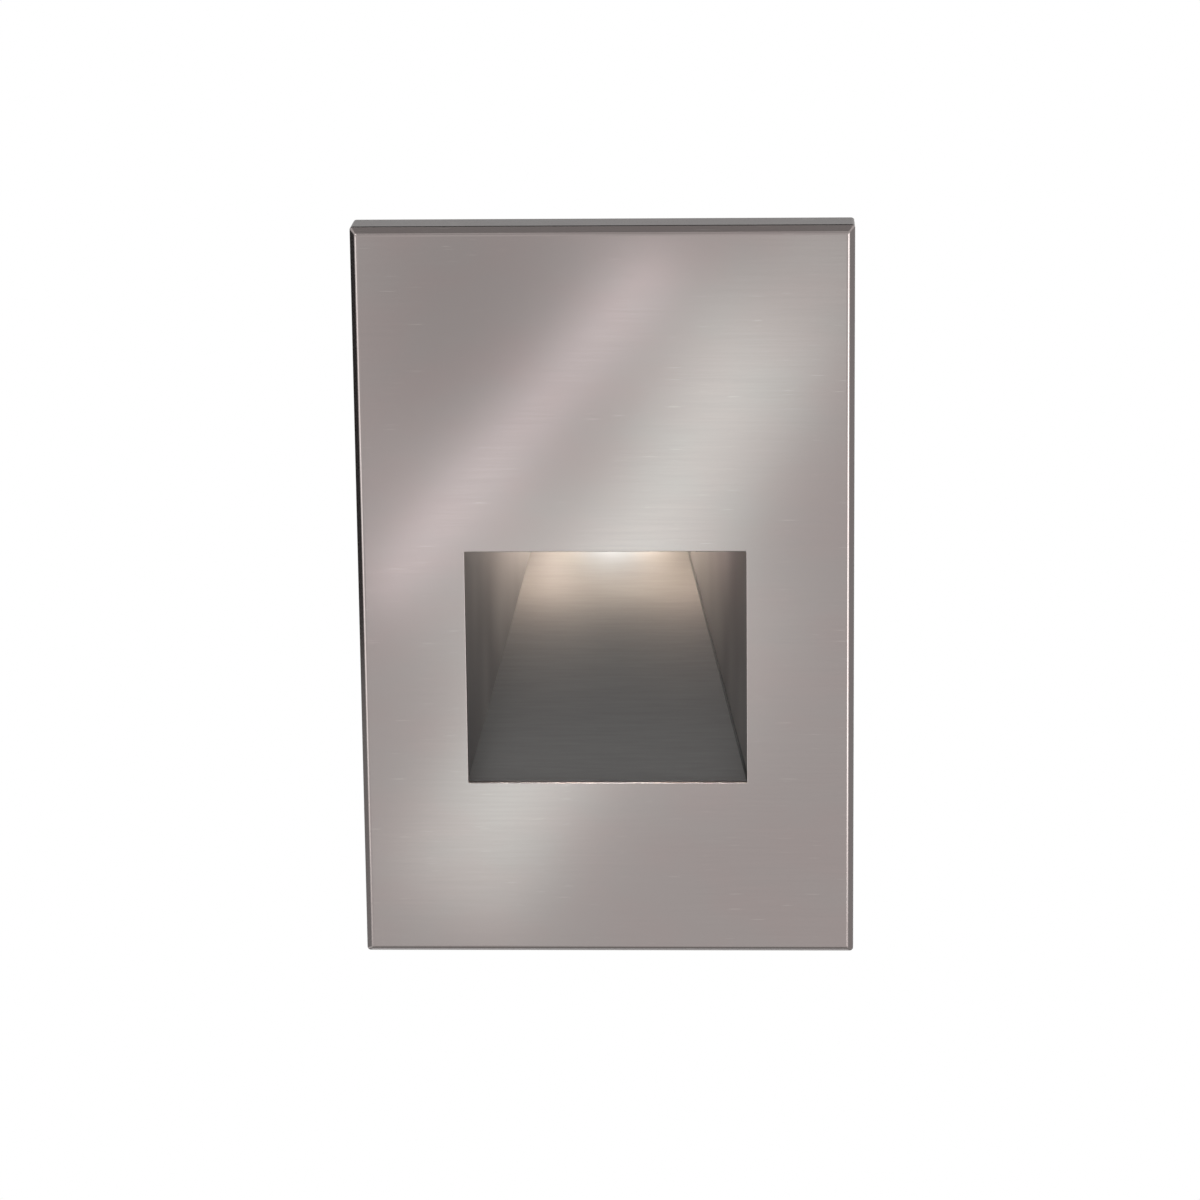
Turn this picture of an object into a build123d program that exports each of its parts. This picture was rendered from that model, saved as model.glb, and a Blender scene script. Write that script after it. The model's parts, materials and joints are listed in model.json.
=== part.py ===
from build123d import *
import os
from math import cos, radians, sin, tan

# Recessed LED step light with a brushed faceplate, for a single-gang wall box.
# Frame: +X to the right seen from the front, +Y into the wall, +Z up.
# The origin lies on the wall plane, midway between the two box screws.
# All lengths are in millimetres and all angles in degrees.

# Faceplate
plate_width = 88.9
plate_height = 134.0
plate_depth = 9.5
plate_skin = 1.6
plate_wall = 5.0
plate_rim = 1.8
bevel_width = 1.1
bevel_depth = 1.8
plate_corner_radius = 1.2
face_corner_radius = 0.6
opening_width = 50.4
opening_height = 43.0
opening_top = 8.5
opening_edge_break = 0.2

# Foam ring between the faceplate and the wall
wall_gasket_width = 3.0
wall_gasket_depth = 1.8

# Sloped reflector behind the opening
slope_angle = 62.0
splay_angle = 28.5
scoop_sheet = 1.0
mouth_margin = 0.2
ceiling_rise = 2.5
ceiling_thickness = 3.0
ceiling_half_width = 19.5
ceiling_tail = 0.5
gasket_thickness = 0.8
scoop_gasket_band = 3.5

# Light engine, stacked on the reflector's ceiling
window_length = 22.0
window_depth = 12.0
window_setback = 4.2
window_edge_break = 0.8
lens_ledge = 2.0
lens_thickness = 2.5
lens_gasket_thickness = 0.6
pocket_clearance = 0.15
retainer_wall_x = 5.5
retainer_wall_y = 2.0
chamber_height = 3.5
led_board_thickness = 1.6
led_tab_width = 9.0
led_tab_reach = 4.6
led_pitch = 7.0
led_size = 3.5
led_height = 0.7
led_dome_radius = 1.4
pad_thickness = 0.5
sink_base = 2.5
sink_fin_count = 5
sink_fin_thickness = 1.6
sink_fin_pitch = 5.4

# Fasteners: M3 unless they say otherwise
m3_radius = 1.5
m3_head_radius = 2.75
m3_head_height = 1.9
m25_radius = 1.25
m25_head_radius = 2.2
m25_head_height = 1.6
thread_clearance = 0.05
hole_clearance = 0.15
recess_width = 0.6

# Housing: a die-cast box that drops into a wall box
housing_wall = 1.4
housing_corner_radius = 3.0
scoop_side_gap = 0.2
scoop_floor_gap = 0.2
flange_band = 2.4
flange_corner_radius = 2.0
ear_x = 22.0
ear_width = 8.6
ear_radius = 3.5
boss_radius = 3.0
boss_clearance = 0.3
boss_bite = 0.7
housing_fin_count = 7
housing_fin_pitch = 6.4
housing_fin_thickness = 1.5
housing_fin_height = 1.4
housing_fin_margin = 3.0

# Driver
insulator_thickness = 0.4
insulator_gap = 0.6
solder_gap = 2.2
board_thickness = 1.6
board_edge_gap = 0.6
component_space = 11.5
post_size = 7.0
post_gap = 1.0
column_size = 6.4
column_post_gap = 0.7
column_notch_gap = 0.6
cover_screw_length = 8.0
board_screw_length = 6.0
lead_radius = 0.65
lead_spacing = 2.6
lead_hole_clearance = 0.15
lead_roof_gap = 0.8
lead_slot_width = 8.0
lead_slot_depth = 3.6
lead_rise = 11.2
connector_width = 6.4
connector_height = 5.0
connector_depth = 7.0
socket_depth = 2.5
leg_radius = 0.3

transformer_x = -10.2
transformer_z = 11.0
transformer_width = 13.0
transformer_height = 12.0
transformer_depth = 9.6
core_limb = 2.4
core_depth = 5.0
capacitor_radius = 4.0
capacitor_length = 10.2
capacitor_x = 8.6
capacitor_pitch = 9.6
capacitor_z = 4.0
film_x = 9.4
film_z = 14.6
film_width = 10.0
film_height = 5.0
film_depth = 8.6
bridge_x = -14.5
bridge_z = -6.0
bridge_width = 8.0
bridge_height = 6.4
bridge_depth = 2.6
choke_x = -3.6
choke_z = -6.6
choke_radius = 3.4
choke_length = 7.6
choke_rim = 1.0
varistor_x = 4.4
varistor_z = -9.0
varistor_radius = 3.6
varistor_thickness = 3.2
fuse_x = 13.6
fuse_z = -7.4
fuse_radius = 1.4
fuse_length = 7.4
fuse_leg_reach = 1.4
chip_x = -0.2
chip_z = 2.6
chip_width = 4.0
chip_height = 5.0
chip_depth = 1.5
switch_x = -12.4
switch_z = -14.8
switch_width = 6.5
switch_height = 6.0
switch_depth = 2.3
terminal_edge_gap = 2.9
terminal_width = 10.6
terminal_height = 7.4
terminal_depth = 9.0
terminal_pitch = 5.0
terminal_screw_radius = 1.6
terminal_entry_radius = 1.3
smd_width = 2.0
smd_height = 1.25
smd_depth = 0.6
smd_pitch = 3.2
smd_count = 4
smd_row_pitch = 3.0
smd_x = 10.0
smd_z = -15.6

# Back cover, lead bush and earth screw
cover_thickness = 2.0
cover_gasket_band = 3.0
bush_bore_radius = 3.2
bush_neck_radius = 4.95
bush_hole_clearance = 0.1
bush_flange_radius = 7.0
bush_flange_thickness = 1.6
bush_nose_length = 3.4
bush_nose_radius = 4.5
earth_x = 14.5
earth_z = -16.5
earth_radius = 2.0
earth_head_radius = 4.2
earth_head_height = 2.6
earth_rim_radius = 4.7
earth_rim_height = 0.8
earth_bite = 3.0
earth_boss_radius = 4.0
washer_radius = 4.9
washer_thickness = 0.6
washer_teeth = 10

# Mounting bracket on the wall box
box_screw_spacing = 83.34
box_slot_radius = 2.0
box_slot_length = 6.4
slot_bridge = 3.47
bracket_sheet = 1.5
bracket_clearance = 0.3
bracket_side_gap = 3.45
bracket_end_gap = 4.0
bracket_corner_radius = 4.0
window_gap = 0.6
hook_width = 28.0
hook_reach = 6.0
hook_rise = 5.2
groove_clearance = 0.3
tab_width = 40.0
tab_reach = 6.6
set_screw_offset = 14.0
set_screw_y = -4.5
set_screw_recess = 0.4
hex_socket_radius = 0.85
hex_socket_depth = 1.6

# Planes along Y, from the face towards the wall box
y_front = -plate_depth
y_skin = y_front + plate_skin
y_scoop = y_skin + gasket_thickness
y_scoop_back = y_scoop + scoop_sheet
y_flange = y_scoop_back + gasket_thickness
y_flange_back = -(bracket_sheet + bracket_clearance)

# Reflector
opening_bottom = opening_top - opening_height
mouth_half = opening_width / 2 + mouth_margin
mouth_bottom = opening_bottom - mouth_margin
z_ceiling = opening_top + ceiling_rise
z_deck = z_ceiling + ceiling_thickness
slope = tan(radians(slope_angle))
splay = tan(radians(splay_angle))
y_tip = y_scoop + (z_ceiling - mouth_bottom) / slope
sheet_across = scoop_sheet / cos(radians(splay_angle))
sheet_down = scoop_sheet / cos(radians(slope_angle))
sheet_back = scoop_sheet / sin(radians(slope_angle))
y_deck_back = y_tip + sheet_back + ceiling_tail

# Light engine
stack_y = y_tip - window_setback - window_depth / 2
lens_half_x = window_length / 2 + lens_ledge
lens_half_y = window_depth / 2 + lens_ledge
retainer_half_x = lens_half_x + retainer_wall_x
retainer_half_y = lens_half_y + retainer_wall_y
stack_screw_x = lens_half_x + (retainer_half_x - lens_half_x) / 2 + pocket_clearance
stack_screw_y = window_depth / 2 + lens_ledge / 2
z_lens = z_deck + lens_gasket_thickness
z_lens_top = z_lens + lens_thickness
z_board = z_lens_top + chamber_height
z_pad = z_board + led_board_thickness
z_sink = z_pad + pad_thickness
y_tab_back = stack_y + retainer_half_y + led_tab_reach

# Housing
pocket_half = mouth_half - scoop_sheet * splay + sheet_across + scoop_side_gap
inner_half = mouth_half - (y_flange_back - y_scoop) * splay + sheet_across + scoop_side_gap
outer_half = inner_half + housing_wall
body_half = box_screw_spacing / 2 - box_slot_length / 2 - slot_bridge - window_gap - housing_fin_height
roof = body_half - housing_wall
pocket_bottom = mouth_bottom + scoop_sheet * slope - sheet_down - scoop_floor_gap
flange_half_z = flange_band + max(roof, -pocket_bottom)
flange_half_x = flange_band + pocket_half
ear_screw_z = flange_half_z + boss_radius + boss_clearance
y_insulator = y_tab_back + insulator_gap
y_driver = y_insulator + insulator_thickness + solder_gap
y_parts = y_driver + board_thickness
y_body_back = y_parts + component_space
y_cover = y_body_back + gasket_thickness
y_cover_back = y_cover + cover_thickness
column_at_x = inner_half - column_size / 2
column_at_z = roof - column_size / 2
board_screw_x = inner_half - post_size / 2
board_screw_z = roof - column_size - column_post_gap - post_size / 2
terminal_z = -roof + board_edge_gap + terminal_edge_gap + terminal_height / 2

# Leads between the driver and the light engine
lead_y = y_tab_back - led_tab_reach / 2
lead_end_y = lead_y + lead_rise
lead_top = roof - lead_roof_gap - lead_radius
connector_z = lead_top - lead_rise / 2 - connector_height / 2 + socket_depth / 2
lead_bend = lead_rise * 0.49

# Bracket
bracket_half_x = plate_width / 2 - plate_wall - bracket_side_gap
bracket_half_z = plate_height / 2 - plate_wall - bracket_end_gap


def block(x, y, z):
    """A box between two x, two y and two z values."""
    size = [high - low for low, high in (x, y, z)]
    middle = [(high + low) / 2 for low, high in (x, y, z)]
    return Pos(*middle) * Box(*size)


def both(half):
    """The two ends of a span that is centred on zero."""
    return (-half, half)


def about(middle, width):
    """The two ends of a span of one width about its middle."""
    return (middle - width / 2, middle + width / 2)


def rounded(x, y, z, radius):
    """A block whose four edges along Y are rounded."""
    body = block(x, y, z)
    return fillet(body.edges().filter_by(Axis.Y), radius)


def rod_y(x, z, y, radius):
    """A round bar along Y between two y values."""
    return Pos(x, sum(y) / 2, z) * Rot(90, 0, 0) * Cylinder(radius, y[1] - y[0])


def rod_z(x, y, z, radius):
    """A round bar along Z between two z values."""
    return Pos(x, y, sum(z) / 2) * Cylinder(radius, z[1] - z[0])


def facing_front(y, z=0):
    """The plane parallel to the wall at one y value, centred at one height and facing the viewer."""
    return Plane(origin=(0, y, z), x_dir=(1, 0, 0), z_dir=(0, -1, 0))


def towards_wall(part, x, y, z):
    """Turns a piece made along +Z so that it points along +Y, and puts it in place."""
    return Pos(x, y, z) * Rot(-90, 0, 0) * part


def corners(x, z):
    """The four places at plus and minus x and z."""
    return [(sx * x, sz * z) for sx in (-1, 1) for sz in (-1, 1)]


def save(node, *solids):
    """Writes one sub-part, joined solids or a group of separate ones, to its own file."""
    shape = solids[0] if len(solids) == 1 else Compound(children=list(solids))
    export_step(shape, f"parts/{node}.step")


def pan_screw(radius, length, head_radius, head_height):
    """A pan-head screw with a cross recess: its seat is at zero and its head points up."""
    head = Pos(0, 0, head_height / 2) * Cylinder(head_radius, head_height)
    head = fillet(head.edges().group_by(Axis.Z)[-1], head_height * 0.45)
    shank = Pos(0, 0, -length / 2) * Cylinder(radius, length)
    screw = head + shank
    arm = head_radius * 0.62
    depth = head_height * 0.5
    for turn in (0, 90):
        screw -= Pos(0, 0, head_height - depth / 2) * Rot(0, 0, turn) * Box(2 * arm, recess_width, depth)
    return screw


def flat_screw(radius, length, head_radius):
    """A countersunk screw, flush at zero, with its head up."""
    cone_height = head_radius - radius
    cone = Pos(0, 0, -cone_height / 2) * Cone(radius, head_radius, cone_height)
    shank = Pos(0, 0, -length / 2) * Cylinder(radius, length)
    screw = cone + shank
    arm = head_radius * 0.55
    depth = cone_height * 0.7
    for turn in (0, 90):
        screw -= Pos(0, 0, -depth / 2) * Rot(0, 0, turn) * Box(2 * arm, recess_width, depth)
    return screw


def build_faceplate():
    """The hollow plate: a thin skin, a thick rim wall, a bevelled front edge and the opening."""
    rear = facing_front(y_front + bevel_depth) * RectangleRounded(
        plate_width, plate_height, plate_corner_radius)
    face = facing_front(y_front) * RectangleRounded(
        plate_width - 2 * bevel_width, plate_height - 2 * bevel_width, face_corner_radius)
    body = loft([rear, face], ruled=True)
    body += extrude(rear, amount=bevel_depth - plate_depth)
    inner_x = plate_width / 2 - plate_wall
    inner_z = plate_height / 2 - plate_wall
    body -= block(both(inner_x), (y_skin, 0), both(inner_z))
    rim_x = plate_width / 2 - plate_rim
    rim_z = plate_height / 2 - plate_rim
    body -= block(both(rim_x), (-wall_gasket_depth, 0), both(rim_z))
    body -= block(both(opening_width / 2), (y_front, y_skin), (opening_bottom, opening_top))
    opening_z = (opening_top + opening_bottom) / 2
    break_face = facing_front(y_front, opening_z) * Rectangle(
        opening_width + 2 * opening_edge_break, opening_height + 2 * opening_edge_break)
    break_end = facing_front(y_front + opening_edge_break, opening_z) * Rectangle(
        opening_width, opening_height)
    body -= loft([break_end, break_face], ruled=True)
    for x, z in corners(ear_x, ear_screw_z):
        body += rod_y(x, z, (y_skin, y_flange), boss_radius)
        body -= rod_y(x, z, (y_skin - boss_bite, y_flange), m3_radius + thread_clearance)
    groove_z = (inner_z, bracket_half_z + hook_rise + groove_clearance)
    groove_y = (-hook_reach - groove_clearance, -hook_reach + bracket_sheet + groove_clearance)
    body -= block(both(hook_width / 2 + groove_clearance), groove_y, groove_z)
    for x in both(set_screw_offset):
        body -= rod_z(x, set_screw_y, (-plate_height / 2, -inner_z), m3_radius + thread_clearance)
    return body


def build_wall_gasket():
    """The foam ring in the faceplate's rim, flush with the wall plane."""
    x = plate_width / 2 - plate_rim
    z = plate_height / 2 - plate_rim
    ring = block(both(x), (-wall_gasket_depth, 0), both(z))
    return ring - block(both(x - wall_gasket_width), (-wall_gasket_depth, 0), both(z - wall_gasket_width))


def build_flange(y):
    """The outline that the reflector and the housing share: a rectangle with four screw ears."""
    body = rounded(both(flange_half_x), y, both(flange_half_z), flange_corner_radius)
    for x, z in corners(ear_x, ear_screw_z):
        ear_z = about(z, 2 * ear_radius + 2 * boss_clearance)
        body += rounded(about(x, ear_width), y, ear_z, ear_radius)
    return body


def scoop_wedge(outwards):
    """The recess, or its outside when it is pushed outwards by the sheet's thickness.

    Two prisms meet: the side view's triangle between the slope and the ceiling,
    and the plan view's trapezoid between the two splayed cheeks."""
    low = mouth_bottom - outwards * sheet_down
    tip = y_tip + outwards * sheet_back
    wide = mouth_half + outwards * sheet_across
    narrow = wide - (tip - y_scoop) * splay
    side = Plane.YZ * Polygon((y_scoop, low), (tip, z_ceiling), (y_scoop, z_ceiling), align=None)
    plan = Pos(0, 0, low) * Polygon(
        (-wide, y_scoop), (wide, y_scoop), (narrow, tip), (-narrow, tip), align=None)
    return extrude(side, amount=wide, both=True) & extrude(plan, amount=z_ceiling - low)


def build_light_scoop():
    """The reflector: slope, two splayed cheeks, a flat ceiling deck with a window, and a flange."""
    body = scoop_wedge(1)
    flange = build_flange((y_scoop, y_scoop_back))
    deck = block(both(ceiling_half_width), (y_scoop, y_deck_back), (z_ceiling, z_deck))
    body = body + flange + deck
    body -= scoop_wedge(0)
    window = block(about(0, window_length), about(stack_y, window_depth), (z_ceiling, z_deck))
    body -= window
    break_face = Pos(0, stack_y, z_ceiling) * Rectangle(
        window_length + 2 * window_edge_break, window_depth + 2 * window_edge_break)
    break_end = Pos(0, stack_y, z_ceiling + window_edge_break) * Rectangle(window_length, window_depth)
    body -= loft([break_face, break_end], ruled=True)
    for x, z in corners(ear_x, ear_screw_z):
        body -= rod_y(x, z, (y_scoop, y_scoop_back), boss_radius + boss_clearance)
    for x in both(stack_screw_x):
        for y in about(stack_y, 2 * stack_screw_y):
            body -= rod_z(x, y, (z_ceiling + scoop_sheet, z_deck), m25_radius + thread_clearance)
    return body


def build_scoop_gasket():
    """The flat ring that seals the opening between the faceplate and the reflector."""
    x = mouth_half + scoop_gasket_band
    z = (mouth_bottom - scoop_gasket_band, opening_top + mouth_margin + scoop_gasket_band)
    z = (max(z[0], pocket_bottom - flange_band), z[1])
    ring = block(both(x), (y_skin, y_scoop), z)
    hole_z = (mouth_bottom, opening_top + mouth_margin)
    return ring - block(both(mouth_half), (y_skin, y_scoop), hole_z)


def build_lens_gasket():
    """The thin ring under the lens."""
    y = about(stack_y, 2 * lens_half_y)
    ring = block(both(lens_half_x), y, (z_deck, z_lens))
    return ring - block(about(0, window_length), about(stack_y, window_depth), (z_deck, z_lens))


def build_lens():
    """The frosted glass pane."""
    pane = block(both(lens_half_x), about(stack_y, 2 * lens_half_y), (z_lens, z_lens_top))
    return chamfer(pane.edges().filter_by(Axis.Z), lens_gasket_thickness)


def stack_holes(z, radius):
    """The four screw holes through the light engine between two heights."""
    places = [(x, y) for x in both(stack_screw_x) for y in about(stack_y, 2 * stack_screw_y)]
    return [rod_z(x, y, z, radius) for x, y in places]


def build_lens_retainer():
    """The white frame that clamps the lens and forms the mixing chamber above it."""
    y = about(stack_y, 2 * retainer_half_y)
    body = block(both(retainer_half_x), y, (z_deck, z_board))
    pocket_y = about(stack_y, 2 * (lens_half_y + pocket_clearance))
    body -= block(both(lens_half_x + pocket_clearance), pocket_y, (z_deck, z_lens_top))
    body -= block(about(0, window_length), about(stack_y, window_depth), (z_lens_top, z_board))
    for hole in stack_holes((z_deck, z_board), m25_radius + hole_clearance):
        body -= hole
    return body


def build_led_board():
    """The metal-core board over the chamber, with a tab behind it for the leads."""
    y = about(stack_y, 2 * retainer_half_y)
    body = block(both(retainer_half_x), y, (z_board, z_pad))
    body += block(about(0, led_tab_width), (y[1], y_tab_back), (z_board, z_pad))
    for hole in stack_holes((z_board, z_pad), m25_radius + hole_clearance):
        body -= hole
    for x in both(lead_spacing / 2):
        body -= rod_z(x, lead_y, (z_board, z_pad), lead_radius + lead_hole_clearance)
    return body


def build_emitters():
    """Three square light-emitting packages with domed tops that point down."""
    package = block(about(0, led_size), about(stack_y, led_size), (z_board - led_height, z_board))
    dome = Pos(0, stack_y, z_board - led_height) * Sphere(led_dome_radius)
    dome &= block(about(0, led_size), about(stack_y, led_size), (z_board - led_height - led_size, z_board))
    return [Pos(step * led_pitch, 0, 0) * (package + dome) for step in (-1, 0, 1)]


def build_thermal_pad():
    """The soft pad between the board and the heat sink."""
    x = both(lens_half_x)
    return block(x, about(stack_y, 2 * retainer_half_y), (z_pad, z_sink))


def build_heat_sink():
    """The finned bar that carries the heat up to the housing's roof."""
    y = about(stack_y, 2 * retainer_half_y)
    body = block(both(retainer_half_x), y, (z_sink, z_sink + sink_base))
    top = roof - pad_thickness
    for index in range(sink_fin_count):
        x = (index - (sink_fin_count - 1) / 2) * sink_fin_pitch
        body += block(about(x, sink_fin_thickness), y, (z_sink, top))
    for hole in stack_holes((z_sink, z_sink + sink_base), m25_radius + hole_clearance):
        body -= hole
    return body


def build_roof_pad():
    """The soft pad between the heat sink's fins and the housing's roof."""
    span = (sink_fin_count - 1) * sink_fin_pitch + sink_fin_thickness
    return block(about(0, span), about(stack_y, 2 * retainer_half_y), (roof - pad_thickness, roof))


def build_stack_screws():
    """The four screws that clamp the light engine to the reflector's deck."""
    seat = z_sink + sink_base
    length = seat - z_ceiling - scoop_sheet - thread_clearance
    screw = pan_screw(m25_radius, length, m25_head_radius, m25_head_height)
    places = [(x, y) for x in both(stack_screw_x) for y in about(stack_y, 2 * stack_screw_y)]
    return [Pos(x, y, seat) * screw for x, y in places]


def build_housing():
    """The die-cast box: a front flange with the mouth, a tube, fins, board posts and cover columns."""
    flange_y = (y_flange, y_flange_back)
    body = build_flange(flange_y)
    body_y = (y_flange_back, y_body_back)
    body += rounded(both(outer_half), body_y, both(body_half), housing_corner_radius)
    fin_y = (y_flange_back + housing_fin_margin, y_body_back - housing_fin_margin)
    for index in range(housing_fin_count):
        x = (index - (housing_fin_count - 1) / 2) * housing_fin_pitch
        for side in (-1, 1):
            z = sorted((side * (body_half - housing_wall / 2), side * (body_half + housing_fin_height)))
            body += block(about(x, housing_fin_thickness), fin_y, z)
    bore_y = (y_flange, y_body_back)
    body -= rounded(both(inner_half), bore_y, both(roof), housing_corner_radius - housing_wall)
    body -= block(both(pocket_half), flange_y, (pocket_bottom, roof))
    post_y = (stack_y + retainer_half_y + post_gap, y_driver)
    for x, z in corners(board_screw_x, board_screw_z):
        body += block(about(x, post_size), post_y, about(z, post_size))
        body -= rod_y(x, z, (y_driver - board_screw_length, y_driver), m3_radius + thread_clearance)
    column_y = (y_parts + m3_head_height, y_body_back)
    for x, z in corners(column_at_x, column_at_z):
        body += block(about(x, column_size), column_y, about(z, column_size))
        body -= rod_y(x, z, (y_body_back - cover_screw_length, y_body_back), m3_radius + thread_clearance)
    for x, z in corners(ear_x, ear_screw_z):
        body -= rod_y(x, z, flange_y, m3_radius + hole_clearance)
        sink = Cone(m3_radius + hole_clearance, m3_head_radius + hole_clearance, m3_head_radius - m3_radius)
        body -= towards_wall(sink, x, y_flange_back - (m3_head_radius - m3_radius) / 2, z)
    return body


def build_housing_gasket():
    """The ring that seals the housing's mouth against the reflector's flange."""
    y = (y_scoop_back, y_flange)
    z = (pocket_bottom, roof)
    band = flange_band - scoop_floor_gap
    ring = block(both(pocket_half + band), y, (z[0] - band, z[1] + band))
    return ring - block(both(pocket_half), y, z)


def build_housing_screws():
    """The four countersunk screws that pull the housing against the faceplate's bosses."""
    length = y_flange_back - y_skin + boss_bite - thread_clearance
    screw = flat_screw(m3_radius, length, m3_head_radius)
    return [towards_wall(screw, x, y_flange_back, z) for x, z in corners(ear_x, ear_screw_z)]


def build_insulator():
    """The film that keeps the board's solder side away from the reflector."""
    x = inner_half - post_size - board_edge_gap
    z = (-roof + board_edge_gap, roof - lead_slot_depth - board_edge_gap)
    return block(both(x), (y_insulator, y_insulator + insulator_thickness), z)


def build_driver_board():
    """The driver's circuit board, with notched corners and a slot for the leads."""
    y = (y_driver, y_parts)
    half_x = inner_half - board_edge_gap
    half_z = roof - board_edge_gap
    body = block(both(half_x), y, both(half_z))
    notch = column_size + column_notch_gap
    for x, z in corners(inner_half - notch / 2, roof - notch / 2):
        body -= block(about(x, notch), y, about(z, notch))
    body -= block(about(0, lead_slot_width), y, (roof - lead_slot_depth, roof))
    for x, z in corners(board_screw_x, board_screw_z):
        body -= rod_y(x, z, y, m3_radius + hole_clearance)
    return body


def build_driver_screws():
    """The four screws that hold the board on its posts."""
    length = board_screw_length + board_thickness - thread_clearance
    screw = pan_screw(m3_radius, length, m3_head_radius, m3_head_height)
    return [towards_wall(screw, x, y_parts, z) for x, z in corners(board_screw_x, board_screw_z)]


def standing(x, z, width, height, depth):
    """A block that stands on the board's back face."""
    return block(about(x, width), (y_parts, y_parts + depth), about(z, height))


def build_transformer_core():
    """The ferrite frame: two limbs and two bars around the winding, open towards the cover."""
    y_middle = y_parts + transformer_depth / 2
    y = about(y_middle, core_depth)
    outer = block(about(transformer_x, transformer_width), y, about(transformer_z, transformer_height))
    hole_x = about(transformer_x, transformer_width - 2 * core_limb)
    hole_z = about(transformer_z, transformer_height - 2 * core_limb)
    return outer - block(hole_x, y, hole_z)


def build_transformer_winding():
    """The wound bobbin inside the core, with the flange that stands on the board."""
    gap = hole_clearance
    width = transformer_width - 2 * core_limb - 2 * gap
    height = transformer_height - 2 * core_limb - 2 * gap
    coil = standing(transformer_x, transformer_z, width, height, transformer_depth)
    coil = fillet(coil.edges().filter_by(Axis.Y), width / 5)
    foot_depth = (transformer_depth - core_depth) / 2
    foot = standing(transformer_x, transformer_z, transformer_width, transformer_height, foot_depth)
    return coil + foot


def build_electrolytics():
    """Two aluminium cans that stand on the board."""
    can = Pos(0, 0, capacitor_length / 2) * Cylinder(capacitor_radius, capacitor_length)
    can = fillet(can.edges().group_by(Axis.Z)[-1], capacitor_radius / 8)
    places = [capacitor_x, capacitor_x + capacitor_pitch]
    return [towards_wall(can, x, y_parts, capacitor_z) for x in places]


def build_film_capacitor():
    """The boxed film capacitor."""
    case = standing(film_x, film_z, film_width, film_height, film_depth)
    return fillet(case.edges().group_by(Axis.Y)[-1], film_height / 12)


def build_bridge_rectifier():
    """The rectifier, a flat block with two legs on each side."""
    body = standing(bridge_x, bridge_z, bridge_width, bridge_height, bridge_depth)
    for x in about(bridge_x, bridge_width / 2):
        for side in (-1, 1):
            z = bridge_z + side * (bridge_height / 2 + leg_radius)
            body += standing(x, z, 4 * leg_radius, 4 * leg_radius, leg_radius)
    return body


def build_choke():
    """The drum choke: a waisted core with two rims."""
    spool = Pos(0, 0, choke_length / 2) * Cylinder(choke_radius, choke_length)
    waist_length = choke_length - 2 * choke_rim
    ring = Pos(0, 0, choke_length / 2) * Cylinder(choke_radius, waist_length)
    ring -= Pos(0, 0, choke_length / 2) * Cylinder(choke_radius * 0.86, waist_length)
    return towards_wall(spool - ring, choke_x, y_parts, choke_z)


def build_varistor():
    """The surge varistor, a disc on edge with a flat foot."""
    disc = Rot(0, 90, 0) * Cylinder(varistor_radius, varistor_thickness)
    disc = fillet(disc.edges().filter_by(GeomType.CIRCLE), varistor_thickness / 4)
    lift = varistor_radius + leg_radius
    body = Pos(varistor_x, y_parts + lift, varistor_z) * disc
    for side in (-1, 1):
        body += rod_y(varistor_x, varistor_z + side * varistor_radius / 2, (y_parts, y_parts + lift), leg_radius)
    return body


def build_fuse():
    """The cartridge fuse, held just off the board by its two end caps."""
    tube = Rot(0, 90, 0) * Cylinder(fuse_radius, fuse_length)
    lift = fuse_radius + leg_radius
    body = Pos(fuse_x, y_parts + lift, fuse_z) * tube
    for side in (-1, 1):
        x = fuse_x + side * (fuse_length / 2 - fuse_leg_reach / 2)
        body += standing(x, fuse_z, fuse_leg_reach, 2 * fuse_radius, lift)
    return body


def build_driver_chip():
    """The control chip with four legs on each side."""
    body = standing(chip_x, chip_z, chip_width, chip_height, chip_depth)
    for row in range(4):
        z = chip_z + (row - 1.5) * chip_height / 4
        body += standing(chip_x, z, chip_width + 4 * leg_radius, leg_radius * 1.4, leg_radius)
    return body


def build_switch_transistor():
    """The power transistor: a body on a wider metal tab."""
    body = standing(switch_x, switch_z, switch_width, switch_height, switch_depth)
    tab_z = switch_z + switch_height / 2 + leg_radius * 2
    return body + standing(switch_x, tab_z, switch_width * 0.8, 4 * leg_radius, leg_radius * 2)


def build_chip_parts():
    """Small surface-mounted parts in two rows."""
    parts = []
    for column in range(smd_count):
        for row in range(2):
            x = smd_x + (column - (smd_count - 1) / 2) * smd_pitch
            z = smd_z - row * smd_row_pitch
            parts.append(standing(x, z, smd_width, smd_height, smd_depth))
    return parts


def build_input_terminal():
    """The two-pole terminal block for the supply, open towards the lead bush."""
    body = standing(0, terminal_z, terminal_width, terminal_height, terminal_depth)
    body = fillet(body.edges().group_by(Axis.Y)[-1], terminal_height / 16)
    top = y_parts + terminal_depth
    for x in both(terminal_pitch / 2):
        body -= rod_y(x, terminal_z, (top - terminal_screw_radius, top), terminal_screw_radius)
        z = (terminal_z, terminal_z + terminal_height / 2)
        body -= rod_z(x, y_parts + terminal_depth / 2, z, terminal_entry_radius)
    return body


def build_led_connector():
    """The two-way socket that the leads drop into."""
    body = standing(0, connector_z, connector_width, connector_height, connector_depth)
    z = (connector_z + connector_height / 2 - socket_depth, connector_z + connector_height / 2)
    y_hole = lead_end_y
    body += block(about(0, connector_width), (y_parts, y_hole + 2 * lead_radius), about(connector_z, connector_height))
    for x in both(lead_spacing / 2):
        body -= rod_z(x, y_hole, z, lead_radius + lead_hole_clearance)
    return body


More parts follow.
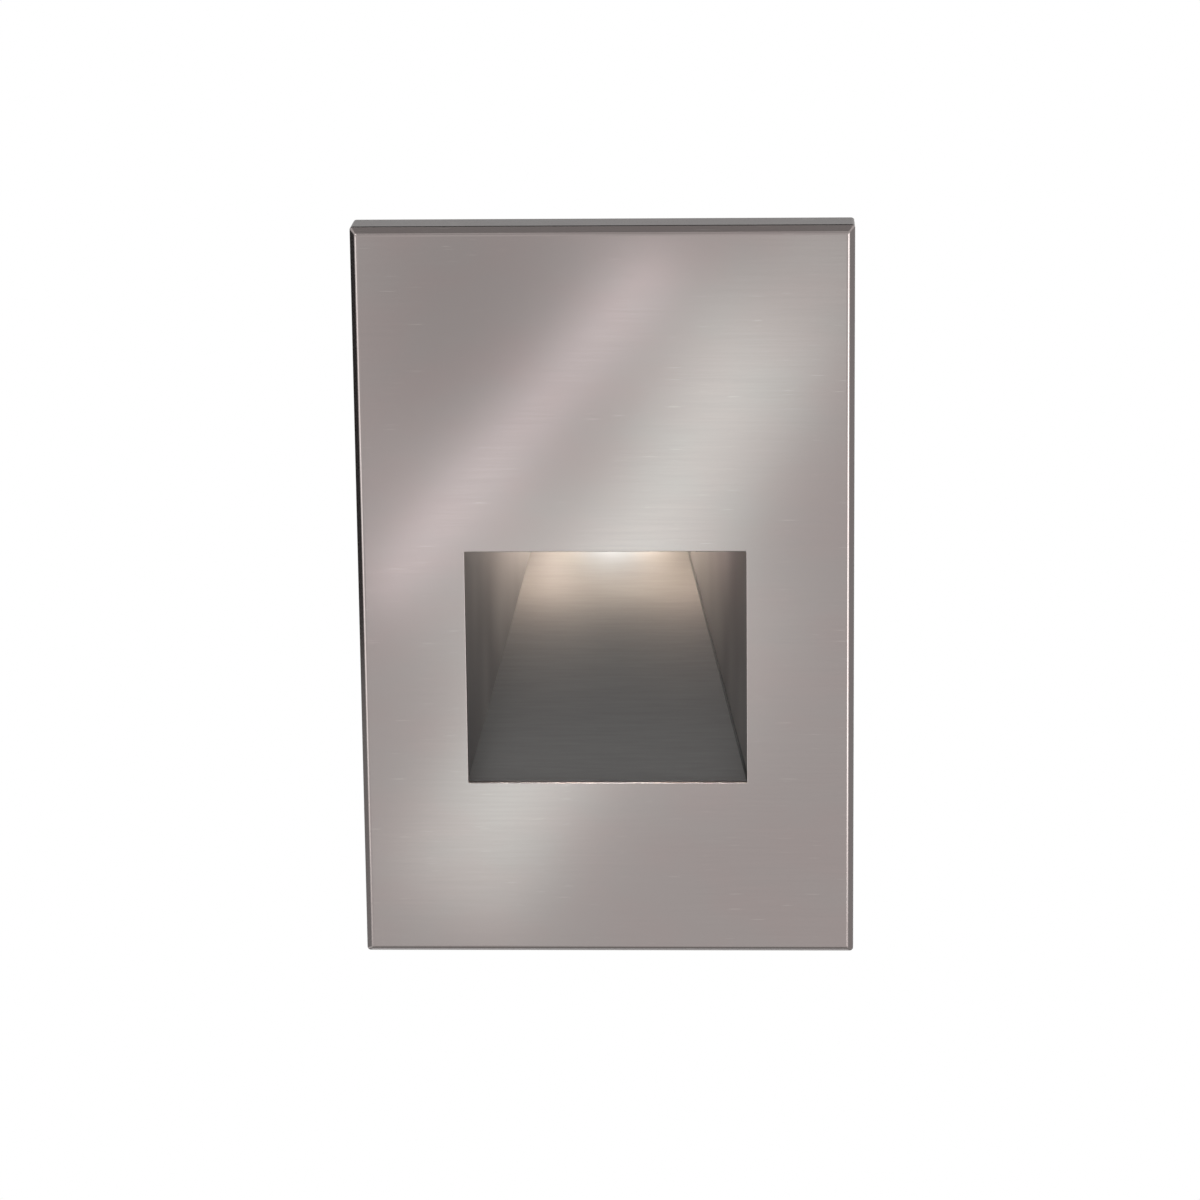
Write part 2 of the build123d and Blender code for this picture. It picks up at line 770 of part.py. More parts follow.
def build_lead(x):
    """One lead: up from the board's tab, back through the slot and down into the socket."""
    bottom = connector_z + connector_height / 2 - socket_depth
    points = [(x, lead_y, z_board), (x, lead_y, lead_top), (x, lead_end_y, lead_top), (x, lead_end_y, bottom)]
    path = FilletPolyline(*points, radius=[lead_bend, lead_bend])
    section = Plane(origin=path @ 0, z_dir=path % 0) * Circle(lead_radius)
    return sweep(section, path=path)


def build_cover_gasket():
    """The ring under the back cover, with an ear at each screw."""
    y = (y_body_back, y_cover)
    ring = rounded(both(outer_half), y, both(body_half), housing_corner_radius)
    ring -= block(both(outer_half - cover_gasket_band), y, both(body_half - cover_gasket_band))
    for x, z in corners(column_at_x, column_at_z):
        ring += block(about(x, column_size), y, about(z, column_size))
    for x, z in corners(column_at_x, column_at_z):
        ring -= rod_y(x, z, y, m3_radius + hole_clearance)
    return ring


def build_back_cover():
    """The plate that closes the housing, with the bush hole and a boss for the earth screw."""
    y = (y_cover, y_cover_back)
    body = rounded(both(outer_half), y, both(body_half), housing_corner_radius)
    body += rod_y(earth_x, earth_z, (y_cover - earth_bite, y_cover), earth_boss_radius)
    body -= rod_y(earth_x, earth_z, (y_cover - earth_bite, y_cover_back), earth_radius + thread_clearance)
    body -= rod_y(0, 0, y, bush_neck_radius + bush_hole_clearance)
    for x, z in corners(column_at_x, column_at_z):
        body -= rod_y(x, z, y, m3_radius + hole_clearance)
    return body


def build_cover_screws():
    """The four screws of the back cover."""
    length = y_cover_back - y_body_back + cover_screw_length - thread_clearance
    screw = pan_screw(m3_radius, length, m3_head_radius, m3_head_height)
    return [towards_wall(screw, x, y_cover_back, z) for x, z in corners(column_at_x, column_at_z)]


def build_lead_bush():
    """The rubber bush that the supply leads pass through: two flanges, a neck and a tapered nose."""
    inside = y_cover - bush_flange_thickness
    outside = y_cover_back + bush_flange_thickness
    body = rod_y(0, 0, (inside, y_cover), bush_flange_radius)
    body += rod_y(0, 0, (y_cover, y_cover_back), bush_neck_radius)
    body += rod_y(0, 0, (y_cover_back, outside), bush_flange_radius)
    nose = Pos(0, 0, bush_nose_length / 2) * Cone(bush_neck_radius, bush_nose_radius, bush_nose_length)
    body += towards_wall(nose, 0, outside, 0)
    return body - rod_y(0, 0, (inside, outside + bush_nose_length), bush_bore_radius)


def build_earth_screw():
    """The hexagon-headed earth screw on the back cover."""
    seat = y_cover_back + washer_thickness
    length = seat - y_cover + earth_bite
    rim = Pos(0, 0, earth_rim_height / 2) * Cylinder(earth_rim_radius, earth_rim_height)
    head = extrude(RegularPolygon(earth_head_radius, 6), amount=earth_head_height)
    screw = rim + head + Pos(0, 0, -length / 2) * Cylinder(earth_radius, length)
    slot = Pos(0, 0, earth_head_height) * Box(3 * earth_head_radius, recess_width * 1.6, earth_head_height * 0.8)
    return towards_wall(screw - slot, earth_x, seat, earth_z)


def build_earth_washer():
    """The toothed washer under the earth screw."""
    ring = Pos(0, 0, washer_thickness / 2) * Cylinder(washer_radius, washer_thickness)
    ring -= Pos(0, 0, washer_thickness / 2) * Cylinder(earth_radius + hole_clearance, washer_thickness)
    gap = washer_radius / 5
    for index in range(washer_teeth):
        notch = Pos(washer_radius, 0, washer_thickness / 2) * Box(2 * gap, gap, washer_thickness)
        ring -= Rot(0, 0, index * 360 / washer_teeth) * notch
    return towards_wall(ring, earth_x, y_cover_back, earth_z)


def build_mounting_bracket():
    """The sheet-steel strap on the wall box: window, two slots, a hook above and a tab below."""
    y = (-bracket_sheet, 0)
    body = rounded(both(bracket_half_x), y, both(bracket_half_z), bracket_corner_radius)
    body -= block(both(outer_half + window_gap), y, both(body_half + housing_fin_height + window_gap))
    for side in (-1, 1):
        slot = facing_front(0, side * box_screw_spacing / 2) * SlotOverall(
            box_slot_length, 2 * box_slot_radius, rotation=90)
        body -= extrude(slot, amount=bracket_sheet, both=True)
    top = bracket_half_z
    body += block(both(hook_width / 2), (-hook_reach, 0), (top - bracket_sheet, top))
    lip_y = (-hook_reach, -hook_reach + bracket_sheet)
    body += block(both(hook_width / 2), lip_y, (top - bracket_sheet, top + hook_rise))
    body += block(both(tab_width / 2), (-tab_reach, 0), (-top, -top + bracket_sheet))
    return body


def build_set_screws():
    """The two socket set screws that press on the bracket's tab from below."""
    bottom = -plate_height / 2 + set_screw_recess
    length = -bracket_half_z - bottom
    screw = Pos(0, 0, length / 2) * Cylinder(m3_radius, length)
    screw -= extrude(RegularPolygon(hex_socket_radius, 6), amount=hex_socket_depth)
    return [Pos(x, set_screw_y, bottom) * screw for x in both(set_screw_offset)]


def main():
    """Builds every sub-part and writes one file for each."""
    os.makedirs("parts", exist_ok=True)
    save("faceplate", build_faceplate())
    save("wall_gasket", build_wall_gasket())
    save("set_screws", *build_set_screws())
    save("light_scoop", build_light_scoop())
    save("scoop_gasket", build_scoop_gasket())
    save("lens_gasket", build_lens_gasket())
    save("lens", build_lens())
    save("lens_retainer", build_lens_retainer())
    save("led_board", build_led_board())
    save("led_emitters", *build_emitters())
    save("thermal_pad", build_thermal_pad())
    save("heat_sink", build_heat_sink())
    save("roof_pad", build_roof_pad())
    save("stack_screws", *build_stack_screws())
    save("housing", build_housing())
    save("housing_gasket", build_housing_gasket())
    save("housing_screws", *build_housing_screws())
    save("driver_insulator", build_insulator())
    save("driver_board", build_driver_board())
    save("driver_screws", *build_driver_screws())
    save("transformer_core", build_transformer_core())
    save("transformer_winding", build_transformer_winding())
    save("electrolytic_capacitors", *build_electrolytics())
    save("film_capacitor", build_film_capacitor())
    save("bridge_rectifier", build_bridge_rectifier())
    save("choke", build_choke())
    save("varistor", build_varistor())
    save("fuse", build_fuse())
    save("driver_chip", build_driver_chip())
    save("switch_transistor", build_switch_transistor())
    save("chip_parts", *build_chip_parts())
    save("input_terminal", build_input_terminal())
    save("led_connector", build_led_connector())
    save("led_lead_positive", build_lead(lead_spacing / 2))
    save("led_lead_negative", build_lead(-lead_spacing / 2))
    save("back_cover_gasket", build_cover_gasket())
    save("back_cover", build_back_cover())
    save("back_cover_screws", *build_cover_screws())
    save("lead_bush", build_lead_bush())
    save("earth_screw", build_earth_screw())
    save("earth_washer", build_earth_washer())
    save("mounting_bracket", build_mounting_bracket())


main()
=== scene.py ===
import json
from math import cos, radians, sin, tan

import bmesh
import bpy
import numpy as np
from mathutils import Matrix, Vector


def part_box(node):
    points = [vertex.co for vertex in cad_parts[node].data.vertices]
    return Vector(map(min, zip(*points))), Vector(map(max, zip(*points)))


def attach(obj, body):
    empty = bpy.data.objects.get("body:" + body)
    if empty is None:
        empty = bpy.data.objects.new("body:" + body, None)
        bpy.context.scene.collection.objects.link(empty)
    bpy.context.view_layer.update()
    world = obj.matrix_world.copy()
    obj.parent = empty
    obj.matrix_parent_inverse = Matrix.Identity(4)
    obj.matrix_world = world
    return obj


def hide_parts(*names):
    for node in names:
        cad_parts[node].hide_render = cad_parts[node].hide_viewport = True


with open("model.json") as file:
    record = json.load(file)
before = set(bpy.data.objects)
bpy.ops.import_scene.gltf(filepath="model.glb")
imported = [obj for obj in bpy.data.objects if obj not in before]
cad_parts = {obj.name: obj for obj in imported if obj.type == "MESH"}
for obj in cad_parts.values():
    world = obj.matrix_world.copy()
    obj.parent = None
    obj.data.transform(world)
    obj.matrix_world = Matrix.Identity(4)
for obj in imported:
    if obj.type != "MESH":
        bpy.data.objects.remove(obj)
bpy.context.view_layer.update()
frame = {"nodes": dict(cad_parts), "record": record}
for packed in bpy.data.materials:
    packed.name = "packed_" + packed.name

MM = 0.001

# The photograph's camera, in millimetres and degrees, solved from the faceplate's edges.
CAMERA_PLACE = (30.72, -786.32, 197.75)
CAMERA_YAW = -2.337
CAMERA_PITCH = 14.297
CAMERA_ROLL = -0.659
LENS_LENGTH = 134.56
SENSOR_WIDTH = 36.0

# The plate's half sizes and the level of its face, read from the frame, in millimetres.
PLATE_LOW = [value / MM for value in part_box("faceplate")[0]]
FACE_Y = PLATE_LOW[1]
PLATE_HALF_X = -PLATE_LOW[0]
PLATE_HALF_Z = -PLATE_LOW[2]

# The height of the reflector's ceiling, in millimetres.
CEILING_Z = 11.0


def colour(hex_code):
    """Turns an sRGB hex colour into linear values: a power of 2.4, or a straight line near black."""
    values = [int(hex_code[i:i + 2], 16) / 255 for i in (1, 3, 5)]
    return [v / 12.92 if v <= 0.04045 else ((v + 0.055) / 1.055) ** 2.4 for v in values] + [1.0]


def add(tree, kind, inputs=None, **settings):
    """Adds one shader node with its settings, values and links."""
    node = tree.nodes.new("ShaderNode" + kind)
    for name, value in settings.items():
        setattr(node, name, value)
    for name, value in (inputs or {}).items():
        if isinstance(value, bpy.types.NodeSocket):
            tree.links.new(value, node.inputs[name])
        else:
            node.inputs[name].default_value = value
    return node


# Camera

def camera_axes():
    """The camera's right, up and forward directions.

    Forward is turned by the yaw about the vertical and dipped by the pitch.
    Right and up are square to it and turned about it by the roll."""
    yaw, pitch, roll = (radians(angle) for angle in (CAMERA_YAW, CAMERA_PITCH, CAMERA_ROLL))
    forward = Vector((sin(yaw) * cos(pitch), cos(yaw) * cos(pitch), -sin(pitch)))
    level = Vector((cos(yaw), -sin(yaw), 0))
    upright = level.cross(forward)
    right = cos(roll) * level + sin(roll) * upright
    up = cos(roll) * upright - sin(roll) * level
    return right, up, forward


def make_camera():
    """The camera at the photograph's place."""
    data = bpy.data.cameras.new("photo_camera")
    data.lens = LENS_LENGTH
    data.sensor_width = SENSOR_WIDTH
    camera = bpy.data.objects.new("photo_camera", data)
    bpy.context.scene.collection.objects.link(camera)
    right, up, forward = camera_axes()
    turn = Matrix((right, up, -forward)).transposed().to_4x4()
    camera.matrix_world = Matrix.Translation(Vector(CAMERA_PLACE) * MM) @ turn
    bpy.context.scene.camera = camera


# Surround and floor

# How bright the surround is as a light, where 1 is white.
WORLD_LIGHT = 0.62
# How far the floor lies below the plate, its radius, and the share of it that is fully painted.
FLOOR_DROP = 250.0
FLOOR_RADIUS = 420.0
FLOOR_PAINTED = 0.3
FLOOR_SIDES = 64


def make_world():
    """A surround that is white to the camera and in metal and glass, and lights the object less."""
    world = bpy.data.worlds.new("white_studio")
    bpy.context.scene.world = world
    world.use_nodes = True
    tree = world.node_tree
    tree.nodes.clear()
    path = add(tree, "LightPath").outputs
    rays = add(tree, "Math", {0: path["Is Camera Ray"], 1: path["Is Glossy Ray"]}, operation="ADD").outputs[0]
    seen = add(tree, "Math", {0: rays, 1: path["Is Transmission Ray"]}, operation="ADD").outputs[0]
    strength = add(tree, "MapRange", {"Value": seen, "To Min": WORLD_LIGHT, "To Max": 1.0}).outputs[0]
    back = add(tree, "Background", {"Color": colour("#FFFFFF"), "Strength": strength}).outputs[0]
    add(tree, "OutputWorld", {"Surface": back})


def stage_object(name, mesh, material):
    """A piece of the studio."""
    piece = bpy.data.objects.new(name, mesh)
    bpy.context.scene.collection.objects.link(piece)
    mesh.materials.append(material)
    return piece


def make_floor():
    """A pale round floor under the object that fades into the white surround.

    Its edge points lie on a circle about the origin. The paint thins out evenly with the distance,
    from the painted share of the radius to the edge. From below the floor can't be seen."""
    material = bpy.data.materials.new("pale_floor_paint")
    material.use_nodes = True
    tree = material.node_tree
    tree.nodes.clear()
    place = add(tree, "TexCoord").outputs["Object"]
    reach = add(tree, "VectorMath", {0: place}, operation="LENGTH").outputs["Value"]
    fade = add(tree, "MapRange", {
        "Value": reach, "From Min": FLOOR_PAINTED * FLOOR_RADIUS * MM,
        "From Max": FLOOR_RADIUS * MM}).outputs[0]
    below = add(tree, "NewGeometry").outputs["Backfacing"]
    clear_share = add(tree, "Math", {0: fade, 1: below}, operation="MAXIMUM").outputs[0]
    paint = add(tree, "BsdfDiffuse", {"Color": colour("#F4F4F2")}).outputs[0]
    clear = add(tree, "BsdfTransparent").outputs[0]
    mix = add(tree, "MixShader", {0: clear_share, 1: paint, 2: clear}).outputs[0]
    add(tree, "OutputMaterial", {"Surface": mix})
    mesh = bpy.data.meshes.new("pale_floor")
    turns = np.linspace(0, 2 * np.pi, FLOOR_SIDES, endpoint=False)
    ring = np.stack([np.cos(turns), np.sin(turns), 0 * turns], axis=1) * FLOOR_RADIUS * MM
    mesh.from_pydata(ring.tolist(), [], [list(range(FLOOR_SIDES))])
    floor = stage_object("pale_floor", mesh, material)
    floor.location.z = -(PLATE_HALF_Z + FLOOR_DROP) * MM


# Lamps and cards. Their places and sizes are in millimetres, and a level of 1 is as bright as white.

def aimed(place, target):
    """A turn and place whose -Z looks at the target."""
    place, target = Vector(place), Vector(target)
    turn = (target - place).to_track_quat("-Z", "Y").to_matrix().to_4x4()
    return Matrix.Translation(place * MM) @ turn


def area_lamp(name, size, level, tint):
    """A rectangular lamp that the camera doesn't see.

    Its power is four times the level times its area."""
    data = bpy.data.lights.new(name, "AREA")
    data.shape = "RECTANGLE"
    data.size, data.size_y = size[0] * MM, size[1] * MM
    data.energy = 4 * level * data.size * data.size_y
    data.color = colour(tint)[:3]
    lamp = bpy.data.objects.new(name, data)
    bpy.context.scene.collection.objects.link(lamp)
    lamp.visible_camera = False
    return lamp


def soft_box(name, place, size, level, target=(0, 0, 0), tint="#FFFFFF"):
    """A lamp that looks at its target, which is the middle of the set where none is given."""
    lamp = area_lamp(name, size, level, tint)
    lamp.matrix_world = aimed(place, target)
    return lamp


def mirrored(x, z, distance):
    """The place in front of the face that the camera sees mirrored at x and z on it.

    The line from the camera to the face goes on, turned back, to this distance from the face."""
    point = Vector((x, FACE_Y, z))
    line = point - Vector(CAMERA_PLACE)
    return point + Vector((line.x, -line.y, line.z)) * (distance / line.y)


def mirror_growth(distance):
    """How much larger a thing at this distance is than its mirror image on the face."""
    return 1 + distance / (FACE_Y - CAMERA_PLACE[1])


def streak_lamp(name, start, end, width, distance, level, tint):
    """A strip lamp that the camera sees mirrored in the faceplate as a streak from start to end."""
    places = [mirrored(x, z, distance) for x, z in (start, end)]
    along = places[1] - places[0]
    lamp = area_lamp(name, (width * mirror_growth(distance), along.length), level, tint)
    up = along.normalized()
    back = Vector((0, -1, 0))
    turn = Matrix((up.cross(back), up, back)).transposed().to_4x4()
    lamp.matrix_world = Matrix.Translation((places[0] + places[1]) / 2 * MM) @ turn


def grey_card(name, place, size, level, target=(0, 0, 0)):
    """A plain grey card beside the set that only polished metal sees."""
    material = bpy.data.materials.new(name)
    material.use_nodes = True
    tree = material.node_tree
    tree.nodes.clear()
    glow = add(tree, "Emission", {"Color": colour("#FFFFFF"), "Strength": level}).outputs[0]
    add(tree, "OutputMaterial", {"Surface": glow})
    half_x, half_y = size[0] / 2 * MM, size[1] / 2 * MM
    mesh = bpy.data.meshes.new(name)
    corners = [(-half_x, -half_y, 0), (half_x, -half_y, 0), (half_x, half_y, 0), (-half_x, half_y, 0)]
    mesh.from_pydata(corners, [], [(0, 1, 2, 3)])
    card = stage_object(name, mesh, material)
    card.matrix_world = aimed(place, target)
    for rays in ("camera", "diffuse", "transmission", "volume_scatter", "shadow"):
        setattr(card, "visible_" + rays, False)


def shade_card(name, middle, size, distance, level):
    """A grey card that the camera sees mirrored in the faceplate as a soft darker patch."""
    place = mirrored(*middle, distance)
    growth = mirror_growth(distance)
    grey_card(name, place, [side * growth for side in size], level, target=place + Vector((0, 100, 0)))


def led_glow(name, place, aim, size, level, tint, spread=180):
    """A strip of light just under the reflector's ceiling, from x and y, that shines at its aim.

    The spread is the angle of its beam in degrees."""
    lamp = soft_box("led_" + name, (*place, CEILING_Z - 0.1), size, level, aim, tint)
    lamp.data.spread = radians(spread)


def make_led_light():
    """The light engine's light, as strips just under the reflector's ceiling.

    They stand for the lens and for what the bright steel round it throws back: cool under the
    lens, and warm towards the cheeks and from the ceiling's front. The one at the opening's lip is
    a narrow beam, nearly straight down, on the foot of the slope."""
    led_glow("lens", (0, 9), (0, 9, 0), (9, 10), 21.2, "#FDFFFB")
    led_glow("ceiling_front", (0, -3), (0, 9, 0), (40, 6), 5.4, "#FFE6CE", spread=90)
    led_glow("left_rear", (-6, 11), (-16, 10, 2), (6, 8), 33.5, "#FFEFDA", spread=120)
    led_glow("right_rear", (6, 11), (16, 10, 2), (6, 8), 33.6, "#FFEBD5", spread=120)
    led_glow("left_cheek", (-10, 5), (-22, 0, 0), (8, 10), 18.0, "#FFEBE5", spread=150)
    led_glow("ceiling_lip", (0, -5), (0, -9, -33), (44, 3), 1.4, "#FBFFFD", spread=24)
    led_glow("right_cheek", (15, -1), (24, -5, -3), (6, 6), 15.9, "#FFDBDB", spread=130)


def make_studio():
    """The white surround, the floor, and the lamps and cards round the object."""
    make_world()
    make_floor()
    # The boxes light the object from the front and the back.
    soft_box("key_box", (-560, -520, 700), (500, 400), 2.2)
    soft_box("left_box", (-760, -420, -120), (420, 420), 1.3)
    soft_box("right_box", (760, -420, -120), (420, 420), 2.2)
    soft_box("rear_box", (500, 900, 300), (500, 400), 1.6)
    # The plate's face mirrors the strips as two soft streaks, the broad one in four layers,
    # and the shade card as a darker patch.
    streak_lamp("broad_streak", (31, 52), (-29, -57), 24, 130, 0.76, "#ECFFFB")
    streak_lamp("broad_streak_top", (44, 66), (35, 50), 18, 124, 0.3, "#ECFFFB")
    streak_lamp("broad_streak_core", (25, 43), (-22, -44), 9, 118, 0.45, "#ECFFFB")
    streak_lamp("streak_halo", (7, 12), (-7, -22), 62, 142, 0.25, "#EDFFFB")
    streak_lamp("narrow_streak", (10.5, 61), (-41, 0.4), 6, 106, 1.5, "#FFF8FE")
    shade_card("face_shade", (-21, 52), (36, 44), 165, 0.76)
    make_led_light()
    # The bevel and the rounded edges mirror the cards as bright and dark lines.
    grey_card("left_card", (-500, 330, -70), (520, 500), 0.35)
    grey_card("left_dark_card", (-460, 304, -55), (440, 200), 0.03)
    grey_card("left_rear_card", (-400, 850, -240), (260, 560), 0.03)
    grey_card("right_card", (500, 330, -140), (520, 700), 0.5)
    grey_card("right_rear_card", (440, 790, -240), (220, 560), 0.03)
    grey_card("right_bright_card", (790, -430, -125), (700, 500), 1.9)
    grey_card("front_top_card", (0, -700, 820), (1000, 500), 0.7)
    grey_card("top_card", (-20, 120, 560), (700, 420), 0.45)
    grey_card("back_card", (0, 560, 480), (1100, 390), 0.04)
    grey_card("low_back_card", (0, 700, 170), (900, 330), 0.45)
    grey_card("low_card", (0, 0, -300), (500, 420), 0.42)


# Finishes. A pixel of the photograph is about 0.2 mm on the plate. The grain of moulded, blasted,
# ground, fired and tumbled surfaces and the strokes of a brush are finer than that, so they are
# drawn coarser than real, at the sizes in millimetres that each finish gives.

def new_finish(name):
    """An empty material and its node tree."""
    material = bpy.data.materials.new(name)
    material.use_nodes = True
    material.node_tree.nodes.clear()
    return material, material.node_tree


def in_mm(tree, sizes=(1, 1, 1), turn=(0, 0, 0)):
    """Object coordinates counted in pattern cells, whose sizes are in millimetres."""
    place = add(tree, "TexCoord").outputs["Object"]
    scale = [1 / (size * MM) for size in sizes]
    turn = [radians(angle) for angle in turn]
    return add(tree, "Mapping", {"Vector": place, "Scale": scale, "Rotation": turn}).outputs[0]


def axis_place(tree, axis):
    """One Object coordinate in metres."""
    place = add(tree, "TexCoord").outputs["Object"]
    return add(tree, "SeparateXYZ", {0: place}).outputs[axis]


def shade(tree, tint, roughness, height=None, height_mm=0.0, **fixed):
    """Ends a material with the main shader and, where a height is given, a bump of that many millimetres."""
    inputs = {"Base Color": tint, "Roughness": roughness}
    inputs.update({name.replace("_", " "): value for name, value in fixed.items()})
    if height is not None:
        bump = add(tree, "Bump", {"Strength": 1.0, "Distance": height_mm * MM, "Height": height})
        inputs["Normal"] = bump.outputs[0]
    main = add(tree, "BsdfPrincipled", inputs).outputs[0]
    add(tree, "OutputMaterial", {"Surface": main})


def grained(name, sizes, dark, light, rough, height_mm, detail=3.0, wildness=0.5, **fixed):
    """A material whose colour, gloss and height all follow one grain.

    The grain's sizes along X, Y and Z are in millimetres, or one number where it is even.
    Detail is how many finer layers it has, and wildness is how strong each of them is."""
    material, tree = new_finish(name)
    if not isinstance(sizes, tuple):
        sizes = (sizes, sizes, sizes)
    grain = add(tree, "TexNoise", {
        "Vector": in_mm(tree, sizes), "Scale": 1.0, "Detail": detail, "Roughness": wildness}).outputs["Fac"]
    share = add(tree, "MapRange", {"Value": grain, "From Min": 0.35, "From Max": 0.65}).outputs[0]
    tint = add(tree, "Mix", {0: share, 6: colour(dark), 7: colour(light)}, data_type="RGBA").outputs[2]
    gloss = add(tree, "MapRange", {"Value": share, "To Min": rough[0], "To Max": rough[1]}).outputs[0]
    shade(tree, tint, gloss, grain, height_mm, **fixed)
    return material


def brushed_stainless():
    """Stainless sheet, brushed from side to side on a belt, so it has fine level strokes and odd scratches.

    The belt's strokes are under 0.1 mm wide, and are drawn 0.3 mm wide."""
    material, tree = new_finish("brushed_stainless")
    strokes = add(tree, "TexNoise", {
        "Vector": in_mm(tree, (16.0, 16.0, 0.3)), "Scale": 1.0, "Detail": 3.0,
        "Roughness": 0.6}).outputs["Fac"]
    scratches = add(tree, "TexNoise", {
        "Vector": in_mm(tree, (5.0, 5.0, 0.22)), "Scale": 1.0, "Detail": 0.0}).outputs["Fac"]
    tone = add(tree, "TexNoise", {
        "Vector": in_mm(tree, (14.0, 14.0, 9.0)), "Scale": 1.0, "Detail": 1.5}).outputs["Fac"]
    tone_share = add(tree, "MapRange", {"Value": tone, "From Min": 0.38, "From Max": 0.62}).outputs[0]
    stroke_share = add(tree, "MapRange", {
        "Value": strokes, "From Min": 0.3, "From Max": 0.7, "To Max": 0.3}).outputs[0]
    scratch_share = add(tree, "MapRange", {
        "Value": scratches, "From Min": 0.76, "From Max": 0.84, "To Max": 0.3}).outputs[0]
    sheet = add(tree, "Mix", {
        0: tone_share, 6: colour("#9A908E"), 7: colour("#99918F")}, data_type="RGBA").outputs[2]
    brushed = add(tree, "Mix", {0: stroke_share, 6: sheet, 7: colour("#938B89")}, data_type="RGBA").outputs[2]
    tint = add(tree, "Mix", {0: scratch_share, 6: brushed, 7: colour("#B5AEAB")}, data_type="RGBA").outputs[2]
    rough = add(tree, "MapRange", {
        "Value": strokes, "From Min": 0.3, "From Max": 0.7, "To Min": 0.205, "To Max": 0.22}).outputs[0]
    shade(tree, tint, rough, strokes, 0.0002, Metallic=1.0)
    return material


def satin_scoop():
    """Bent stainless sheet, satin, with level strokes on the slope and a tint darkened as painted shade of
    the recess; the cheeks get a tint of their own with painted reflection streaks running upright.

    The strokes are drawn 0.4 mm wide. A face is a cheek where its normal points sideways enough."""
    material, tree = new_finish("satin_scoop")
    strokes = add(tree, "TexNoise", {
        "Vector": in_mm(tree, (10.0, 0.5, 0.42)), "Scale": 1.0, "Detail": 3.0,
        "Roughness": 0.6}).outputs["Fac"]
    # Upright streaks on the cheeks that stand for smeared reflections: painted reflection.
    painted_reflection_streaks = add(tree, "TexNoise", {
        "Vector": in_mm(tree, (5.0, 5.0, 34.0)), "Scale": 1.0, "Detail": 1.0}).outputs["Fac"]
    stroke_share = add(tree, "MapRange", {"Value": strokes, "From Min": 0.3, "From Max": 0.7}).outputs[0]
    reflection_streak_share = add(tree, "MapRange", {"Value": painted_reflection_streaks, "From Min": 0.3, "From Max": 0.7}).outputs[0]
    # The slope's tint is dark as painted shade of the recess.
    slope_shade_tint = add(tree, "Mix", {
        0: stroke_share, 6: colour("#454343"), 7: colour("#4A4948")}, data_type="RGBA").outputs[2]
    # The cheeks' own tint, lighter and darker in upright streaks, is painted reflection and painted shade.
    cheek_shade_and_streak_tint = add(tree, "Mix", {
        0: reflection_streak_share, 6: colour("#413F3F"), 7: colour("#535150")}, data_type="RGBA").outputs[2]
    facing = add(tree, "TexCoord").outputs["Normal"]
    across = add(tree, "SeparateXYZ", {0: facing}).outputs["X"]
    sideways = add(tree, "Math", {0: across}, operation="ABSOLUTE").outputs[0]
    cheek = add(tree, "MapRange", {"Value": sideways, "From Min": 0.3, "From Max": 0.6}).outputs[0]
    tint = add(tree, "Mix", {0: cheek, 6: slope_shade_tint, 7: cheek_shade_and_streak_tint}, data_type="RGBA").outputs[2]
    rough = add(tree, "MapRange", {"Value": cheek, "To Min": 0.44, "To Max": 0.34}).outputs[0]
    shade(tree, tint, rough, strokes, 0.0005, Metallic=0.3)
    return material


def frosted_glass():
    """Acid-etched glass, lit from behind: cool in the middle, and warm near the ends of the window."""
    material, tree = new_finish("frosted_glass")
    from_middle = add(tree, "Math", {0: axis_place(tree, "X")}, operation="ABSOLUTE").outputs[0]
    end_share = add(tree, "MapRange", {
        "Value": from_middle, "From Min": 1.5 * MM, "From Max": 7 * MM}).outputs[0]
    light = add(tree, "Mix", {
        0: end_share, 6: colour("#F4F6FF"), 7: colour("#FFD3A6")}, data_type="RGBA").outputs[2]
    etching = add(tree, "TexNoise", {"Vector": in_mm(tree, (0.3, 0.3, 0.3)), "Scale": 1.0}).outputs["Fac"]
    rough = add(tree, "MapRange", {
        "Value": etching, "From Min": 0.3, "From Max": 0.7, "To Min": 0.5, "To Max": 0.65}).outputs[0]
    shade(tree, colour("#F3F1EC"), rough, etching, 0.003, Emission_Color=light, Emission_Strength=4.0)
    return material


def led_phosphor():
    """Yellow phosphor in clear silicone, lit from within."""
    material, tree = new_finish("led_phosphor")
    powder = add(tree, "TexNoise", {"Vector": in_mm(tree, (0.15, 0.15, 0.15)), "Scale": 1.0}).outputs["Fac"]
    tint = add(tree, "Mix", {
        0: powder, 6: colour("#E8B52E"), 7: colour("#F3CB55")}, data_type="RGBA").outputs[2]
    rough = add(tree, "MapRange", {
        "Value": powder, "From Min": 0.3, "From Max": 0.7, "To Min": 0.15, "To Max": 0.25}).outputs[0]
    shade(tree, tint, rough, powder, 0.002, Emission_Color=colour("#FFE6C0"), Emission_Strength=6.0)
    return material


